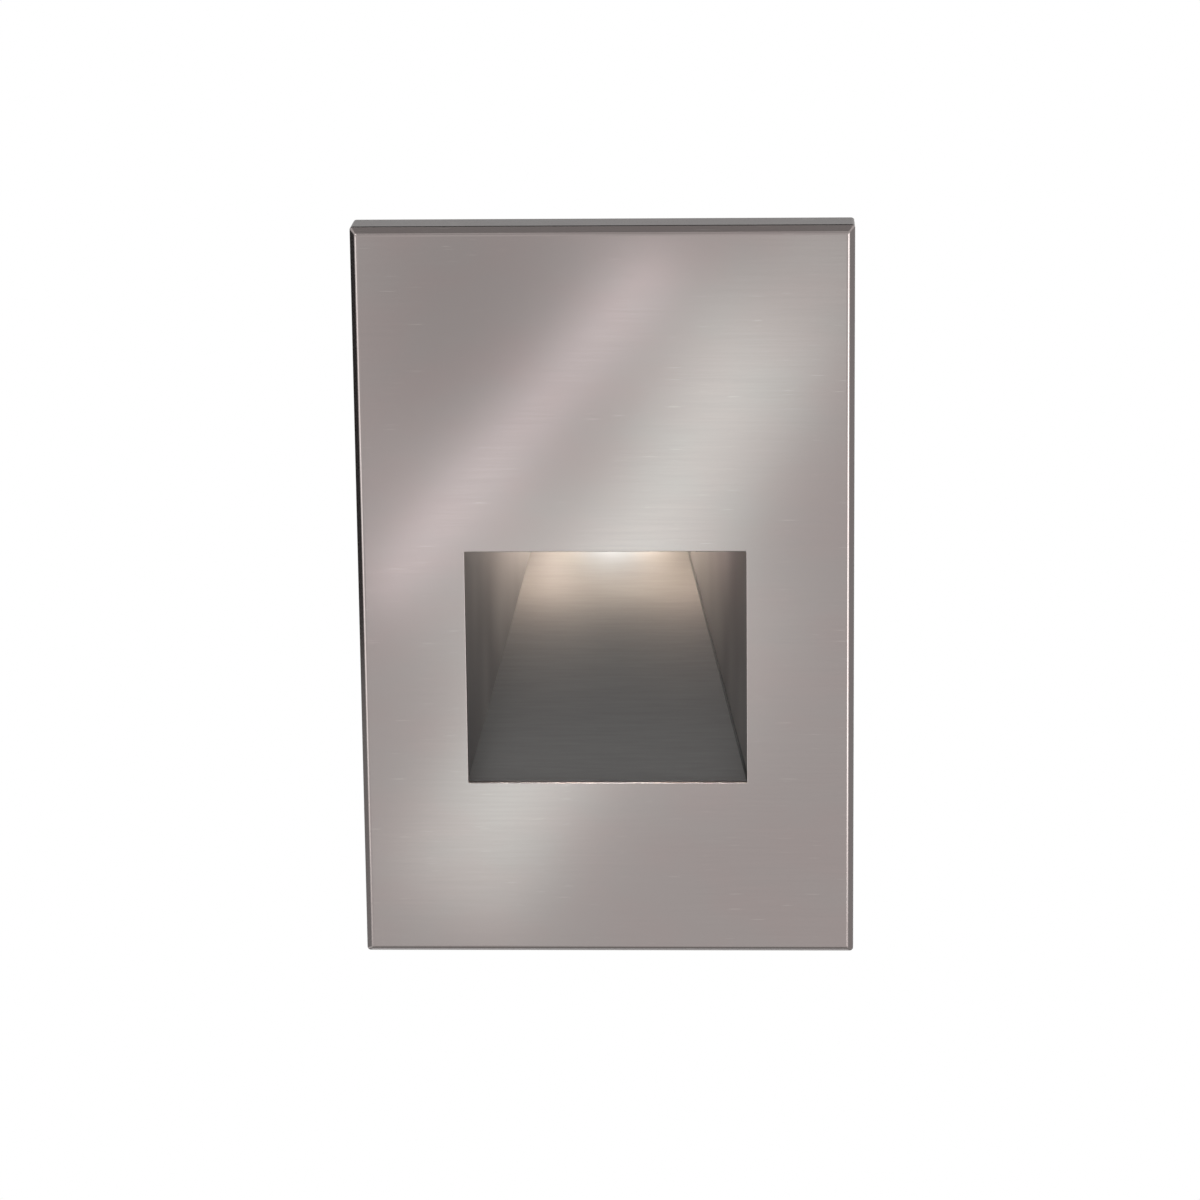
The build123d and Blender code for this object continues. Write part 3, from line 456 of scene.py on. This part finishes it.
def die_cast_housing():
    """Die-cast aluminium, shot-blasted: an even dull grey with fine pits and soft cloudy flow marks.

    The pits are drawn 0.5 mm wide."""
    material, tree = new_finish("die_cast_housing")
    pits = add(tree, "TexNoise", {
        "Vector": in_mm(tree, (0.5, 0.5, 0.5)), "Scale": 1.0, "Detail": 3.0}).outputs["Fac"]
    flow = add(tree, "TexNoise", {
        "Vector": in_mm(tree, (22.0, 22.0, 22.0)), "Scale": 1.0, "Detail": 3.0}).outputs["Fac"]
    flow_share = add(tree, "MapRange", {"Value": flow, "From Min": 0.35, "From Max": 0.65}).outputs[0]
    pit_share = add(tree, "MapRange", {"Value": pits, "From Min": 0.35, "From Max": 0.6}).outputs[0]
    cloud = add(tree, "Mix", {
        0: flow_share, 6: colour("#8E9092"), 7: colour("#A0A1A2")}, data_type="RGBA").outputs[2]
    tint = add(tree, "Mix", {0: pit_share, 6: colour("#85878A"), 7: cloud}, data_type="RGBA").outputs[2]
    rough = add(tree, "MapRange", {
        "Value": pits, "From Min": 0.3, "From Max": 0.7, "To Min": 0.5, "To Max": 0.62}).outputs[0]
    shade(tree, tint, rough, pits, 0.012, Metallic=0.8)
    return material


def zinc_plated_steel():
    """Pressed sheet steel, bright zinc plated: pale and cool, with rolling lines and faint cloudy spangle.

    The rolling lines are drawn 0.5 mm wide."""
    material, tree = new_finish("zinc_plated_steel")
    lines = add(tree, "TexNoise", {
        "Vector": in_mm(tree, (0.5, 0.5, 24.0)), "Scale": 1.0, "Detail": 3.0}).outputs["Fac"]
    spangle = add(tree, "TexVoronoi", {
        "Vector": in_mm(tree, (5.0, 5.0, 5.0)), "Scale": 1.0}).outputs["Distance"]
    spangle_share = add(tree, "MapRange", {"Value": spangle, "From Min": 0.2, "From Max": 0.9}).outputs[0]
    line_share = add(tree, "MapRange", {"Value": lines, "From Min": 0.35, "From Max": 0.65}).outputs[0]
    cloud = add(tree, "Mix", {
        0: spangle_share, 6: colour("#A9AFB4"), 7: colour("#B9BDBF")}, data_type="RGBA").outputs[2]
    tint = add(tree, "Mix", {0: line_share, 6: colour("#9FA4A8"), 7: cloud}, data_type="RGBA").outputs[2]
    rough = add(tree, "MapRange", {"Value": spangle_share, "To Min": 0.33, "To Max": 0.38}).outputs[0]
    shade(tree, tint, rough, lines, 0.002, Metallic=1.0)
    return material


def zinc_screws():
    """Cold-headed steel screws, zinc plated with a faint straw tint and small scuffs."""
    return grained("zinc_screws", 0.7, "#8F8D86", "#B7B4A8", (0.26, 0.42), 0.004, Metallic=1.0)


def stainless_screws():
    """Cold-headed stainless screws, tumbled: bright and even with soft small dents."""
    return grained("stainless_screws", 0.8, "#8D8B88", "#B0AEAA", (0.24, 0.36), 0.005, Metallic=1.0)


def green_screw():
    """A steel screw in green lacquer, thin enough for the metal's tooling to show."""
    return grained("green_screw", 0.9, "#1F7A3C", "#2E9650", (0.30, 0.45), 0.004, Metallic=0.35)


def black_rubber():
    """Moulded rubber: near black and matt, with fine grain and a little bloom."""
    return grained("black_rubber", 0.6, "#191919", "#2B2B2A", (0.62, 0.80), 0.008)


def foam_seal():
    """Closed-cell foam strip: charcoal, with small open cells where it was cut, drawn 0.7 mm wide."""
    material, tree = new_finish("foam_seal")
    cells = add(tree, "TexVoronoi", {
        "Vector": in_mm(tree, (0.7, 0.7, 0.7)), "Scale": 1.0}).outputs["Distance"]
    share = add(tree, "MapRange", {"Value": cells, "From Min": 0.05, "From Max": 0.6}).outputs[0]
    tint = add(tree, "Mix", {
        0: share, 6: colour("#222324"), 7: colour("#3A3B3C")}, data_type="RGBA").outputs[2]
    rough = add(tree, "MapRange", {"Value": share, "To Min": 0.85, "To Max": 0.95}).outputs[0]
    shade(tree, tint, rough, cells, 0.05)
    return material


def silicone_seal():
    """Cut silicone sheet: dark grey, smooth and slightly waxy."""
    return grained("silicone_seal", 0.8, "#35373A", "#44474A", (0.42, 0.55), 0.004)


def white_plastic():
    """Moulded white polyester: clean and semi-gloss with a spark-eroded grain."""
    return grained("white_plastic", 0.4, "#DEDCD5", "#ECEAE4", (0.36, 0.48), 0.004)


def led_board_white():
    """Aluminium-core board under white solder mask, with copper lands that show as faint steps.

    The lands are 7 by 4.5 mm with thin gaps between them."""
    material, tree = new_finish("led_board_white")
    gaps = add(tree, "TexBrick", {
        "Vector": in_mm(tree), "Scale": 1.0, "Mortar Size": 0.12, "Brick Width": 7.0,
        "Row Height": 4.5}).outputs["Fac"]
    tint = add(tree, "Mix", {
        0: gaps, 6: colour("#EFEFEB"), 7: colour("#D9DAD6")}, data_type="RGBA").outputs[2]
    rough = add(tree, "MapRange", {"Value": gaps, "To Min": 0.30, "To Max": 0.42}).outputs[0]
    shade(tree, tint, rough, gaps, -0.03)
    return material


def thermal_pad():
    """Filled silicone gap pad: soft blue-grey and matt, with fine speckle."""
    return grained("thermal_pad", 0.5, "#7F8B99", "#98A3AF", (0.70, 0.85), 0.010)


def extruded_aluminium():
    """Extruded aluminium with natural anodising: satin, with long die lines from front to back."""
    return grained("extruded_aluminium", (0.35, 30.0, 0.35), "#8F9295", "#B4B6B8", (0.30, 0.42), 0.004,
                   wildness=0.6, Metallic=0.9)


def insulating_film():
    """Black polypropylene film: thin, smooth and faintly rippled."""
    return grained("insulating_film", 6.0, "#202122", "#2E2F31", (0.30, 0.42), 0.05)


def circuit_board():
    """Glass-epoxy board under green solder mask: the glass weave shows faintly between the copper tracks."""
    material, tree = new_finish("circuit_board")
    weave = add(tree, "TexNoise", {"Vector": in_mm(tree, (0.5, 0.5, 0.5)), "Scale": 1.0}).outputs["Fac"]
    tracks = add(tree, "TexBrick", {
        "Vector": in_mm(tree, turn=(90, 0, 0)), "Scale": 1.0, "Mortar Size": 0.35,
        "Brick Width": 6.5, "Row Height": 3.2}).outputs["Fac"]
    mask = add(tree, "Mix", {
        0: weave, 6: colour("#17482F"), 7: colour("#1F5A3B")}, data_type="RGBA").outputs[2]
    tint = add(tree, "Mix", {0: tracks, 6: mask, 7: colour("#2F7A4C")}, data_type="RGBA").outputs[2]
    rough = add(tree, "MapRange", {
        "Value": weave, "From Min": 0.3, "From Max": 0.7, "To Min": 0.28, "To Max": 0.40}).outputs[0]
    shade(tree, tint, rough, tracks, 0.035)
    return material


def ferrite():
    """Sintered ferrite: charcoal ceramic with a dry ground face."""
    return grained("ferrite", 0.35, "#2B2B2D", "#404043", (0.50, 0.68), 0.006)


def winding_tape():
    """Amber polyester tape in overlapping turns round the winding."""
    material, tree = new_finish("winding_tape")
    turns = add(tree, "TexWave", {
        "Vector": in_mm(tree), "Scale": 0.16, "Distortion": 0.6, "Detail": 1.0},
        bands_direction="Y").outputs["Fac"]
    tint = add(tree, "Mix", {
        0: turns, 6: colour("#B98512"), 7: colour("#DDAA2C")}, data_type="RGBA").outputs[2]
    rough = add(tree, "MapRange", {"Value": turns, "To Min": 0.22, "To Max": 0.36}).outputs[0]
    shade(tree, tint, rough, turns, 0.05)
    return material


# Where the capacitors' sleeves end and their bare tops start, in millimetres behind the wall.
SLEEVE_END_Y = 36.2


def capacitor_sleeve():
    """Aluminium cans in shrunk vinyl sleeves: dark blue sides with a rolled rim and a bare metal top."""
    material, tree = new_finish("capacitor_sleeve")
    top = add(tree, "MapRange", {
        "Value": axis_place(tree, "Y"), "From Min": SLEEVE_END_Y * MM,
        "From Max": (SLEEVE_END_Y + 0.1) * MM}).outputs[0]
    ripple = add(tree, "TexNoise", {"Vector": in_mm(tree, (3.0, 3.0, 3.0)), "Scale": 1.0}).outputs["Fac"]
    sleeve = add(tree, "Mix", {
        0: ripple, 6: colour("#1B2A4A"), 7: colour("#24375F")}, data_type="RGBA").outputs[2]
    tint = add(tree, "Mix", {0: top, 6: sleeve, 7: colour("#B9BBBD")}, data_type="RGBA").outputs[2]
    rough = add(tree, "MapRange", {
        "Value": ripple, "From Min": 0.3, "From Max": 0.7, "To Min": 0.25, "To Max": 0.38}).outputs[0]
    shade(tree, tint, rough, ripple, 0.02, Metallic=top)
    return material


def film_case():
    """Moulded polyester box of a film capacitor: plain yellow, semi-gloss."""
    return grained("film_case", 0.5, "#C99A16", "#DDB02A", (0.35, 0.48), 0.005)


def black_epoxy():
    """Moulded epoxy of chips: charcoal, with the fine matt grain of a blasted mould."""
    return grained("black_epoxy", 0.2, "#1B1B1D", "#2A2A2C", (0.50, 0.66), 0.004)


def copper_wire():
    """Enamelled copper wire wound in level turns: red-brown, with a glossy coat."""
    material, tree = new_finish("copper_wire")
    turns = add(tree, "TexWave", {
        "Vector": in_mm(tree), "Scale": 0.8, "Distortion": 0.2}, bands_direction="Y").outputs["Fac"]
    tint = add(tree, "Mix", {
        0: turns, 6: colour("#6B2F14"), 7: colour("#B5622F")}, data_type="RGBA").outputs[2]
    rough = add(tree, "MapRange", {"Value": turns, "To Min": 0.40, "To Max": 0.25}).outputs[0]
    shade(tree, tint, rough, turns, 0.10, Metallic=0.8)
    return material


def blue_lacquer():
    """Dipped epoxy coat of a varistor: glossy blue with a soft orange-peel."""
    return grained("blue_lacquer", 1.6, "#1D4B93", "#2559AB", (0.18, 0.28), 0.03, detail=1.0)


# How far the fuse's bare ceramic reaches from its middle to each end cap.
FUSE_BARE = 2.2


def fuse_ceramic():
    """White ceramic fuse tube with nickel-plated end caps."""
    material, tree = new_finish("fuse_ceramic")
    low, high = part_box("fuse")
    middle = (low.x + high.x) / 2
    along = add(tree, "Math", {0: axis_place(tree, "X"), 1: middle}, operation="SUBTRACT").outputs[0]
    away = add(tree, "Math", {0: along}, operation="ABSOLUTE").outputs[0]
    cap = add(tree, "MapRange", {
        "Value": away, "From Min": FUSE_BARE * MM, "From Max": (FUSE_BARE + 0.05) * MM}).outputs[0]
    speckle = add(tree, "TexNoise", {"Vector": in_mm(tree, (0.4, 0.4, 0.4)), "Scale": 1.0}).outputs["Fac"]
    tube = add(tree, "Mix", {
        0: speckle, 6: colour("#DDD9CF"), 7: colour("#EBE8E0")}, data_type="RGBA").outputs[2]
    tint = add(tree, "Mix", {0: cap, 6: tube, 7: colour("#B5B2AA")}, data_type="RGBA").outputs[2]
    rough = add(tree, "MapRange", {
        "Value": speckle, "From Min": 0.3, "From Max": 0.7, "To Min": 0.32, "To Max": 0.45}).outputs[0]
    shade(tree, tint, rough, speckle, 0.004, Metallic=cap)
    return material


def chip_ceramic():
    """Multilayer ceramic chips: tan bodies with a fired grain."""
    return grained("chip_ceramic", 0.25, "#8C6A4A", "#A98561", (0.40, 0.55), 0.004)


def green_plastic():
    """Moulded green polyamide of a terminal block: semi-gloss with a fine grain."""
    return grained("green_plastic", 0.5, "#217B45", "#2C9355", (0.36, 0.50), 0.006)


def red_insulation():
    """Extruded red silicone over a stranded lead: smooth, and faintly uneven from the strands."""
    return grained("red_insulation", 0.9, "#A81C18", "#C22A22", (0.32, 0.44), 0.015)


def black_insulation():
    """Extruded black silicone over a stranded lead: smooth, and faintly uneven from the strands."""
    return grained("black_insulation", 0.9, "#1A1A1B", "#28282A", (0.32, 0.44), 0.015)


MAKERS = {maker.__name__: maker for maker in (
    brushed_stainless, satin_scoop, frosted_glass, led_phosphor, die_cast_housing, zinc_plated_steel,
    zinc_screws, stainless_screws, green_screw, black_rubber, foam_seal, silicone_seal, white_plastic,
    led_board_white, thermal_pad, extruded_aluminium, insulating_film, circuit_board, ferrite,
    winding_tape, capacitor_sleeve, film_case, black_epoxy, copper_wire, blue_lacquer, fuse_ceramic,
    chip_ceramic, green_plastic, red_insulation, black_insulation)}
MADE = {}


def finish_for(slot):
    """The finish of one material slot, made once."""
    if slot not in MADE:
        MADE[slot] = MAKERS[slot]()
    return MADE[slot]


# Tools for the pieces' shapes

# Points of a mesh that lie closer than this are one point.
SAME_POINT = 0.0005 * MM
# Faces that turn by fewer degrees than the first are one flat face, and an edge that turns by
# more than the second is rounded. The plate keeps a crease where it turns by more than the third.
FLAT_TURN, SHARP_TURN, PLATE_CREASE = 0.5, 24.0, 40.0


def outwards(mesh):
    """Joins the doubled points of a closed mesh and turns its faces outwards."""
    shape = bmesh.new()
    shape.from_mesh(mesh)
    bmesh.ops.remove_doubles(shape, verts=shape.verts, dist=SAME_POINT)
    bmesh.ops.recalc_face_normals(shape, faces=shape.faces)
    shape.to_mesh(mesh)
    shape.free()
    return mesh


def rounded_profile(points, radii, steps=4):
    """A polyline in two dimensions with an arc at each inner point.

    An arc touches both runs at radius times the tangent of half the turn from the corner,
    and its points are the centre plus the radius along directions between the two normals.
    A point just before and just after each arc keeps the runs beside it flat."""
    points = np.array(points, float)
    made = [points[:1]]
    for before, corner, after, radius in zip(points, points[1:], points[2:], radii):
        arriving = (corner - before) / np.linalg.norm(corner - before)
        leaving = (after - corner) / np.linalg.norm(after - corner)
        turn = np.arctan2(arriving[0] * leaving[1] - arriving[1] * leaving[0], arriving @ leaving)
        reach = radius * np.tan(abs(turn) / 2)
        side = np.sign(turn) * np.array([-arriving[1], arriving[0]])
        centre = corner - reach * arriving + radius * side
        angles = np.linspace(0, turn, steps + 1)
        spoke = -radius * side
        arc = centre + np.stack([
            spoke[0] * np.cos(angles) - spoke[1] * np.sin(angles),
            spoke[0] * np.sin(angles) + spoke[1] * np.cos(angles)], axis=1)
        guard = min(0.04, radius / 4)
        made += [(arc[0] - guard * arriving)[None], arc, (arc[-1] + guard * leaving)[None]]
    made.append(points[-1:])
    return np.concatenate(made)


def rounded_loops(half_x, low_z, high_z, radius, y, steps=6):
    """Rings round rectangles with arc corners, one ring for each value of the arrays.

    On each corner the angle goes through a quarter turn, and a point is the corner's
    centre plus the radius times the cosine and sine of the angle."""
    angle = np.radians(np.arange(4)[:, None] * 90 + np.linspace(0, 90, steps + 1)[None]).ravel()
    sign_x = np.repeat([1, -1, -1, 1], steps + 1)
    upper = np.repeat([True, True, False, False], steps + 1)
    columns = (half_x, low_z, high_z, radius, y)
    half_x, low_z, high_z, radius, y = (np.asarray(values, float)[:, None] for values in columns)
    x = sign_x * (half_x - radius) + radius * np.cos(angle)
    z = np.where(upper, high_z - radius, low_z + radius) + radius * np.sin(angle)
    return np.stack([x, y + 0 * x, z], axis=2)


def grid_mesh(name, grid, close_rows=False, close_columns=False):
    """A smooth mesh through a grid of points in millimetres, one quad for each cell."""
    rows, columns = grid.shape[:2]
    index = np.arange(rows * columns).reshape(rows, columns)
    down = np.roll(index, -1, axis=0) if close_rows else index[1:]
    top = index if close_rows else index[:-1]
    if close_columns:
        quads = np.stack([top, np.roll(top, -1, 1), np.roll(down, -1, 1), down], axis=2)
    else:
        quads = np.stack([top[:, :-1], top[:, 1:], down[:, 1:], down[:, :-1]], axis=2)
    mesh = bpy.data.meshes.new(name)
    mesh.from_pydata((grid.reshape(-1, 3) * MM).tolist(), [], quads.reshape(-1, 4).tolist())
    mesh.polygons.foreach_set("use_smooth", np.full(len(mesh.polygons), True))
    return mesh


def rod_mesh(name, centre, axis, radius, length, sides=32):
    """A closed round bar: rings of points at the two ends, with the ends filled."""
    turns = np.linspace(0, 2 * np.pi, sides, endpoint=False)
    ring = np.stack([np.cos(turns), np.sin(turns)], axis=1) * radius
    others = [i for i in range(3) if i != axis]
    grid = np.zeros((2, sides, 3)) + np.array(centre, float)
    grid[:, :, others] += ring[None]
    grid[0, :, axis] -= length / 2
    grid[1, :, axis] += length / 2
    low = np.arange(sides)
    quads = np.stack([low, np.roll(low, -1), np.roll(low, -1) + sides, low + sides], axis=1).tolist()
    ends = [low[::-1].tolist(), (low + sides).tolist()]
    mesh = bpy.data.meshes.new(name)
    mesh.from_pydata((grid.reshape(-1, 3) * MM).tolist(), [], quads + ends)
    return outwards(mesh)


def block_mesh(name, low, high):
    """A closed block between two corners."""
    shape = bmesh.new()
    bmesh.ops.create_cube(shape, size=1.0)
    size = (np.array(high) - np.array(low)) * MM
    middle = (np.array(high) + np.array(low)) / 2 * MM
    bmesh.ops.scale(shape, vec=size, verts=shape.verts)
    bmesh.ops.translate(shape, vec=middle, verts=shape.verts)
    mesh = bpy.data.meshes.new(name)
    shape.to_mesh(mesh)
    shape.free()
    return mesh


def joined(name, meshes):
    """One mesh that holds several."""
    shape = bmesh.new()
    for mesh in meshes:
        shape.from_mesh(mesh)
    whole = bpy.data.meshes.new(name)
    shape.to_mesh(whole)
    shape.free()
    return whole


def cut(mesh, tools):
    """A mesh less a group of closed meshes."""
    piece = bpy.data.objects.new("to_cut", mesh)
    tool = bpy.data.objects.new("cutter", joined("cutter", tools))
    for thing in (piece, tool):
        bpy.context.scene.collection.objects.link(thing)
    cutting = piece.modifiers.new("cut", "BOOLEAN")
    cutting.operation = "DIFFERENCE"
    cutting.solver = "EXACT"
    cutting.object = tool
    bpy.context.view_layer.update()
    result = bpy.data.meshes.new_from_object(piece.evaluated_get(bpy.context.evaluated_depsgraph_get()))
    for thing in (piece, tool):
        bpy.data.objects.remove(thing)
    return result


# Pieces

SLOTS = {part["node"]: part["material_slot"] for part in frame["record"]["subparts"]}


def show(name, mesh, slot, *nodes):
    """Puts a mesh on the object with the finish of a slot, in place of the solids it stands for."""
    piece = bpy.data.objects.new(name, mesh)
    bpy.context.scene.collection.objects.link(piece)
    mesh.materials.clear()
    mesh.materials.append(finish_for(slot))
    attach(piece, "root")
    if nodes:
        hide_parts(*nodes)
    return piece


def merged_copy(node, flatten, halves):
    """The mesh of a solid with its loose triangles joined, into whole flat faces where asked.

    In halves, the faces end at the middle plane, so that one round a hole stays a plain outline."""
    mesh = frame["nodes"][node].data.copy()
    mesh.name = node + "_shell"
    shape = bmesh.new()
    shape.from_mesh(mesh)
    bmesh.ops.remove_doubles(shape, verts=shape.verts, dist=SAME_POINT)
    if halves:
        everything = shape.verts[:] + shape.edges[:] + shape.faces[:]
        crossed = bmesh.ops.bisect_plane(
            shape, geom=everything, dist=SAME_POINT, plane_co=(0, 0, 0), plane_no=(1, 0, 0))
        for item in crossed["geom_cut"]:
            if isinstance(item, bmesh.types.BMEdge):
                item.seam = True
    if flatten:
        bmesh.ops.dissolve_limit(
            shape, angle_limit=radians(FLAT_TURN), verts=shape.verts, edges=shape.edges,
            delimit={"SEAM"})
    for face in shape.faces:
        face.smooth = True
    shape.to_mesh(mesh)
    shape.free()
    return mesh


def softened(node, radius, steps=3, flatten=True, halves=False):
    """A copy of a solid with its sharp edges rounded.

    Each edge that turns by more than the sharp turn becomes an arc with this radius in
    millimetres, and the flat faces keep their own direction up to the arc."""
    piece = show(node + "_shell", merged_copy(node, flatten, halves), SLOTS[node], node)
    rounding = piece.modifiers.new("rounded_edges", "BEVEL")
    rounding.width = radius * MM
    rounding.segments = steps
    rounding.limit_method = "ANGLE"
    rounding.angle_limit = radians(SHARP_TURN)
    rounding.face_strength_mode = "FSTR_ALL"
    rounding.miter_outer = "MITER_ARC"
    even = piece.modifiers.new("even_faces", "WEIGHTED_NORMAL")
    even.use_face_influence = True
    even.keep_sharp = True


# The plate, in millimetres: its opening, corners, wall, bevel and rim, and the levels behind
# its face.
OPENING_HALF_X = 25.2
OPENING_TOP = 8.5
OPENING_BOTTOM = -34.5
OPENING_CORNER = 0.2
PLATE_CORNER = 0.6
PLATE_WALL = 5.0
BEVEL_WIDTH, BEVEL_DEPTH = 1.1, 1.8
SKIN_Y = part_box("scoop_gasket")[0][1] / MM
RECESS_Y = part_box("wall_gasket")[0][1] / MM
RIM = PLATE_HALF_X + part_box("wall_gasket")[0][0] / MM
# How far the plate's profiles reach past the wall, the bevel and the lip, over the flat skin.
SKIN_REACH = 0.5

# The groove in the plate's top wall, which takes the bracket's hook with a gap all round.
HOOK_HALF_WIDTH = 14.0
HOOK_FRONT_Y = -6.0
HOOK_SHEET = 1.5
HOOK_GAP = 0.3
HOOK_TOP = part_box("mounting_bracket")[1][2] / MM

# The two set screws' holes: their radius, their place, and a length that passes right through
# the bottom wall.
THREAD_RADIUS = 1.55
SET_SCREW_X, SET_SCREW_Y = 14.0, -4.5
SET_SCREW_HOLE = 8.0

# The four bosses reach from the skin to the housing's flange. They are longer than that gap by
# the overlap, with half of it at each end.
BOSS_X, BOSS_Z = 22.0, 40.85
BOSS_RADIUS = 3.0
BOSS_END_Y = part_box("housing")[0][1] / MM
BOSS_OVERLAP = 0.2
BOSS_SIDES = 40
# The middle and the length of the screw's hole in a boss.
BOSS_HOLE_Y, BOSS_HOLE = -5.0, 4.0


def faceplate_bosses():
    """Four round bosses behind the skin, each with the hole of a screw."""
    bosses = []
    for x in (-BOSS_X, BOSS_X):
        for z in (-BOSS_Z, BOSS_Z):
            middle = (x, (SKIN_Y + BOSS_END_Y) / 2, z)
            length = BOSS_END_Y - SKIN_Y + BOSS_OVERLAP
            boss = rod_mesh("boss", middle, 1, BOSS_RADIUS, length, BOSS_SIDES)
            hole = rod_mesh("thread", (x, BOSS_HOLE_Y, z), 1, THREAD_RADIUS, BOSS_HOLE)
            bosses.append(cut(boss, [hole]))
    return bosses


def faceplate_mesh():
    """The hollow plate as a profile carried round a rectangle with rounded corners.

    The outer profile is counted inwards from the plate's edge, and the opening's outwards from
    the opening. The face and the back of the skin join the two, so the surface closes on itself."""
    outer = rounded_profile(
        [(PLATE_WALL + SKIN_REACH, SKIN_Y), (PLATE_WALL, SKIN_Y), (PLATE_WALL, RECESS_Y), (RIM, RECESS_Y),
         (RIM, 0), (0, 0), (0, FACE_Y + BEVEL_DEPTH), (BEVEL_WIDTH, FACE_Y),
         (BEVEL_WIDTH + SKIN_REACH, FACE_Y)],
        [0.3, 0.15, 0.1, 0.15, 0.25, 1.4, 0.75], steps=6)
    lip = rounded_profile(
        [(SKIN_REACH, FACE_Y), (0, FACE_Y), (0, SKIN_Y), (SKIN_REACH, SKIN_Y)], [0.12, 0.1], steps=4)
    inset, outer_y = outer.T
    # The corners get tighter inwards, down to half their radius.
    corner = np.maximum(PLATE_CORNER - 0.3 * inset, PLATE_CORNER / 2)
    half_x, half_z = PLATE_HALF_X - inset, PLATE_HALF_Z - inset
    rings = rounded_loops(half_x, -half_z, half_z, corner, outer_y)
    outset, lip_y = lip.T
    lips = rounded_loops(
        OPENING_HALF_X + outset, OPENING_BOTTOM - outset, OPENING_TOP + outset,
        OPENING_CORNER + outset, lip_y)
    shell = outwards(grid_mesh("plate", np.concatenate([rings, lips]), close_rows=True, close_columns=True))
    groove_x = HOOK_HALF_WIDTH + HOOK_GAP
    groove = block_mesh(
        "groove", (-groove_x, HOOK_FRONT_Y - HOOK_GAP, PLATE_HALF_Z - PLATE_WALL - 1),
        (groove_x, HOOK_FRONT_Y + HOOK_SHEET + HOOK_GAP, HOOK_TOP + HOOK_GAP))
    middle_z = PLATE_WALL / 2 - PLATE_HALF_Z
    holes = [rod_mesh("hole", (x, SET_SCREW_Y, middle_z), 2, THREAD_RADIUS, SET_SCREW_HOLE)
             for x in (-SET_SCREW_X, SET_SCREW_X)]
    mesh = joined("faceplate_shell", [cut(shell, [groove] + holes)] + faceplate_bosses())
    mesh.polygons.foreach_set("use_smooth", np.full(len(mesh.polygons), True))
    mesh.set_sharp_from_angle(angle=radians(PLATE_CREASE))
    return mesh


# A dark bead in the reflector, in the crease between slope and right cheek: painted shade that stands for the
# shadow line there.
MOUTH_MARGIN = 0.2
SCOOP_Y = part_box("light_scoop")[0][1] / MM
SLOPE_ANGLE = 62.0
SPLAY_ANGLE = 28.5
SHADE_BEAD_RADIUS = 0.36
SHADE_BEAD_TAPER = 0.4
SHADE_BEAD_RINGS, SHADE_BEAD_SIDES = 9, 12


def crease_shade_bead_mesh():
    """A dark bead where the slope meets the right cheek, painted shade that shows as a thin dark line.

    The crease runs straight from the mouth's lower corner to the tip. The bead has a round
    section of its radius at the mouth that shrinks evenly to six tenths at the top."""
    foot = np.array([OPENING_HALF_X + MOUTH_MARGIN, SCOOP_Y, OPENING_BOTTOM - MOUTH_MARGIN])
    rise = CEILING_Z - foot[2]
    depth = rise / tan(radians(SLOPE_ANGLE))
    top = foot + np.array([-depth * tan(radians(SPLAY_ANGLE)), depth, rise])
    along = (top - foot) / np.linalg.norm(top - foot)
    side = np.cross(along, (0, 0, 1.0))
    side /= np.linalg.norm(side)
    other = np.cross(along, side)
    # The first and the last ring have no radius, which closes the ends.
    share = np.pad(np.linspace(0, 1, SHADE_BEAD_RINGS), 1, mode="edge")[:, None, None]
    radius = SHADE_BEAD_RADIUS * (1 - SHADE_BEAD_TAPER * share)
    radius[[0, -1]] = 0
    turn = np.linspace(0, 2 * np.pi, SHADE_BEAD_SIDES, endpoint=False)[None, :, None]
    tube = foot + share * (top - foot) + radius * (np.cos(turn) * side + np.sin(turn) * other)
    return outwards(grid_mesh("crease_shade_bead", tube, close_columns=True))


# The foam ring's width and the radius of its corners.
WALL_GASKET_WIDTH = 3.0
WALL_GASKET_CORNER = 0.3


def wall_gasket_mesh():
    """The foam ring as a soft-edged profile carried round the faceplate's rim."""
    low, high = [[value / MM for value in corner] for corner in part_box("wall_gasket")]
    width = WALL_GASKET_WIDTH
    middle = width / 2
    profile = rounded_profile(
        [(middle, high[1]), (0, high[1]), (0, low[1]), (width, low[1]), (width, high[1]), (middle, high[1])],
        [0.4, 0.2, 0.2, 0.4])[:-1]
    inset, y = profile.T
    half_x, half_z = high[0] - inset, high[2] - inset
    loops = rounded_loops(half_x, -half_z, half_z, WALL_GASKET_CORNER + 0 * inset, y, steps=3)
    return outwards(grid_mesh("wall_gasket_shell", loops, close_rows=True, close_columns=True))


def dress_nodes():
    """Gives every solid that stays the finish of its slot."""
    for node, solid in frame["nodes"].items():
        for slot in solid.material_slots:
            slot.material = finish_for(SLOTS[node])


bpy.context.scene.view_settings.view_transform = "Standard"
make_camera()
make_studio()
dress_nodes()
show("faceplate_shell", faceplate_mesh(), "brushed_stainless", "faceplate")
softened("housing", 0.35, flatten=False)
softened("back_cover", 0.4)
softened("mounting_bracket", 0.22, halves=True)
# The dark bead in the reflector's crease is painted shade.
show("crease_shade_bead", crease_shade_bead_mesh(), "black_rubber")
show("wall_gasket_shell", wall_gasket_mesh(), "foam_seal", "wall_gasket")
softened("back_cover_screws", 0.12)
softened("earth_screw", 0.15)
softened("earth_washer", 0.06, steps=2)
softened("set_screws", 0.12)
softened("lead_bush", 0.3)
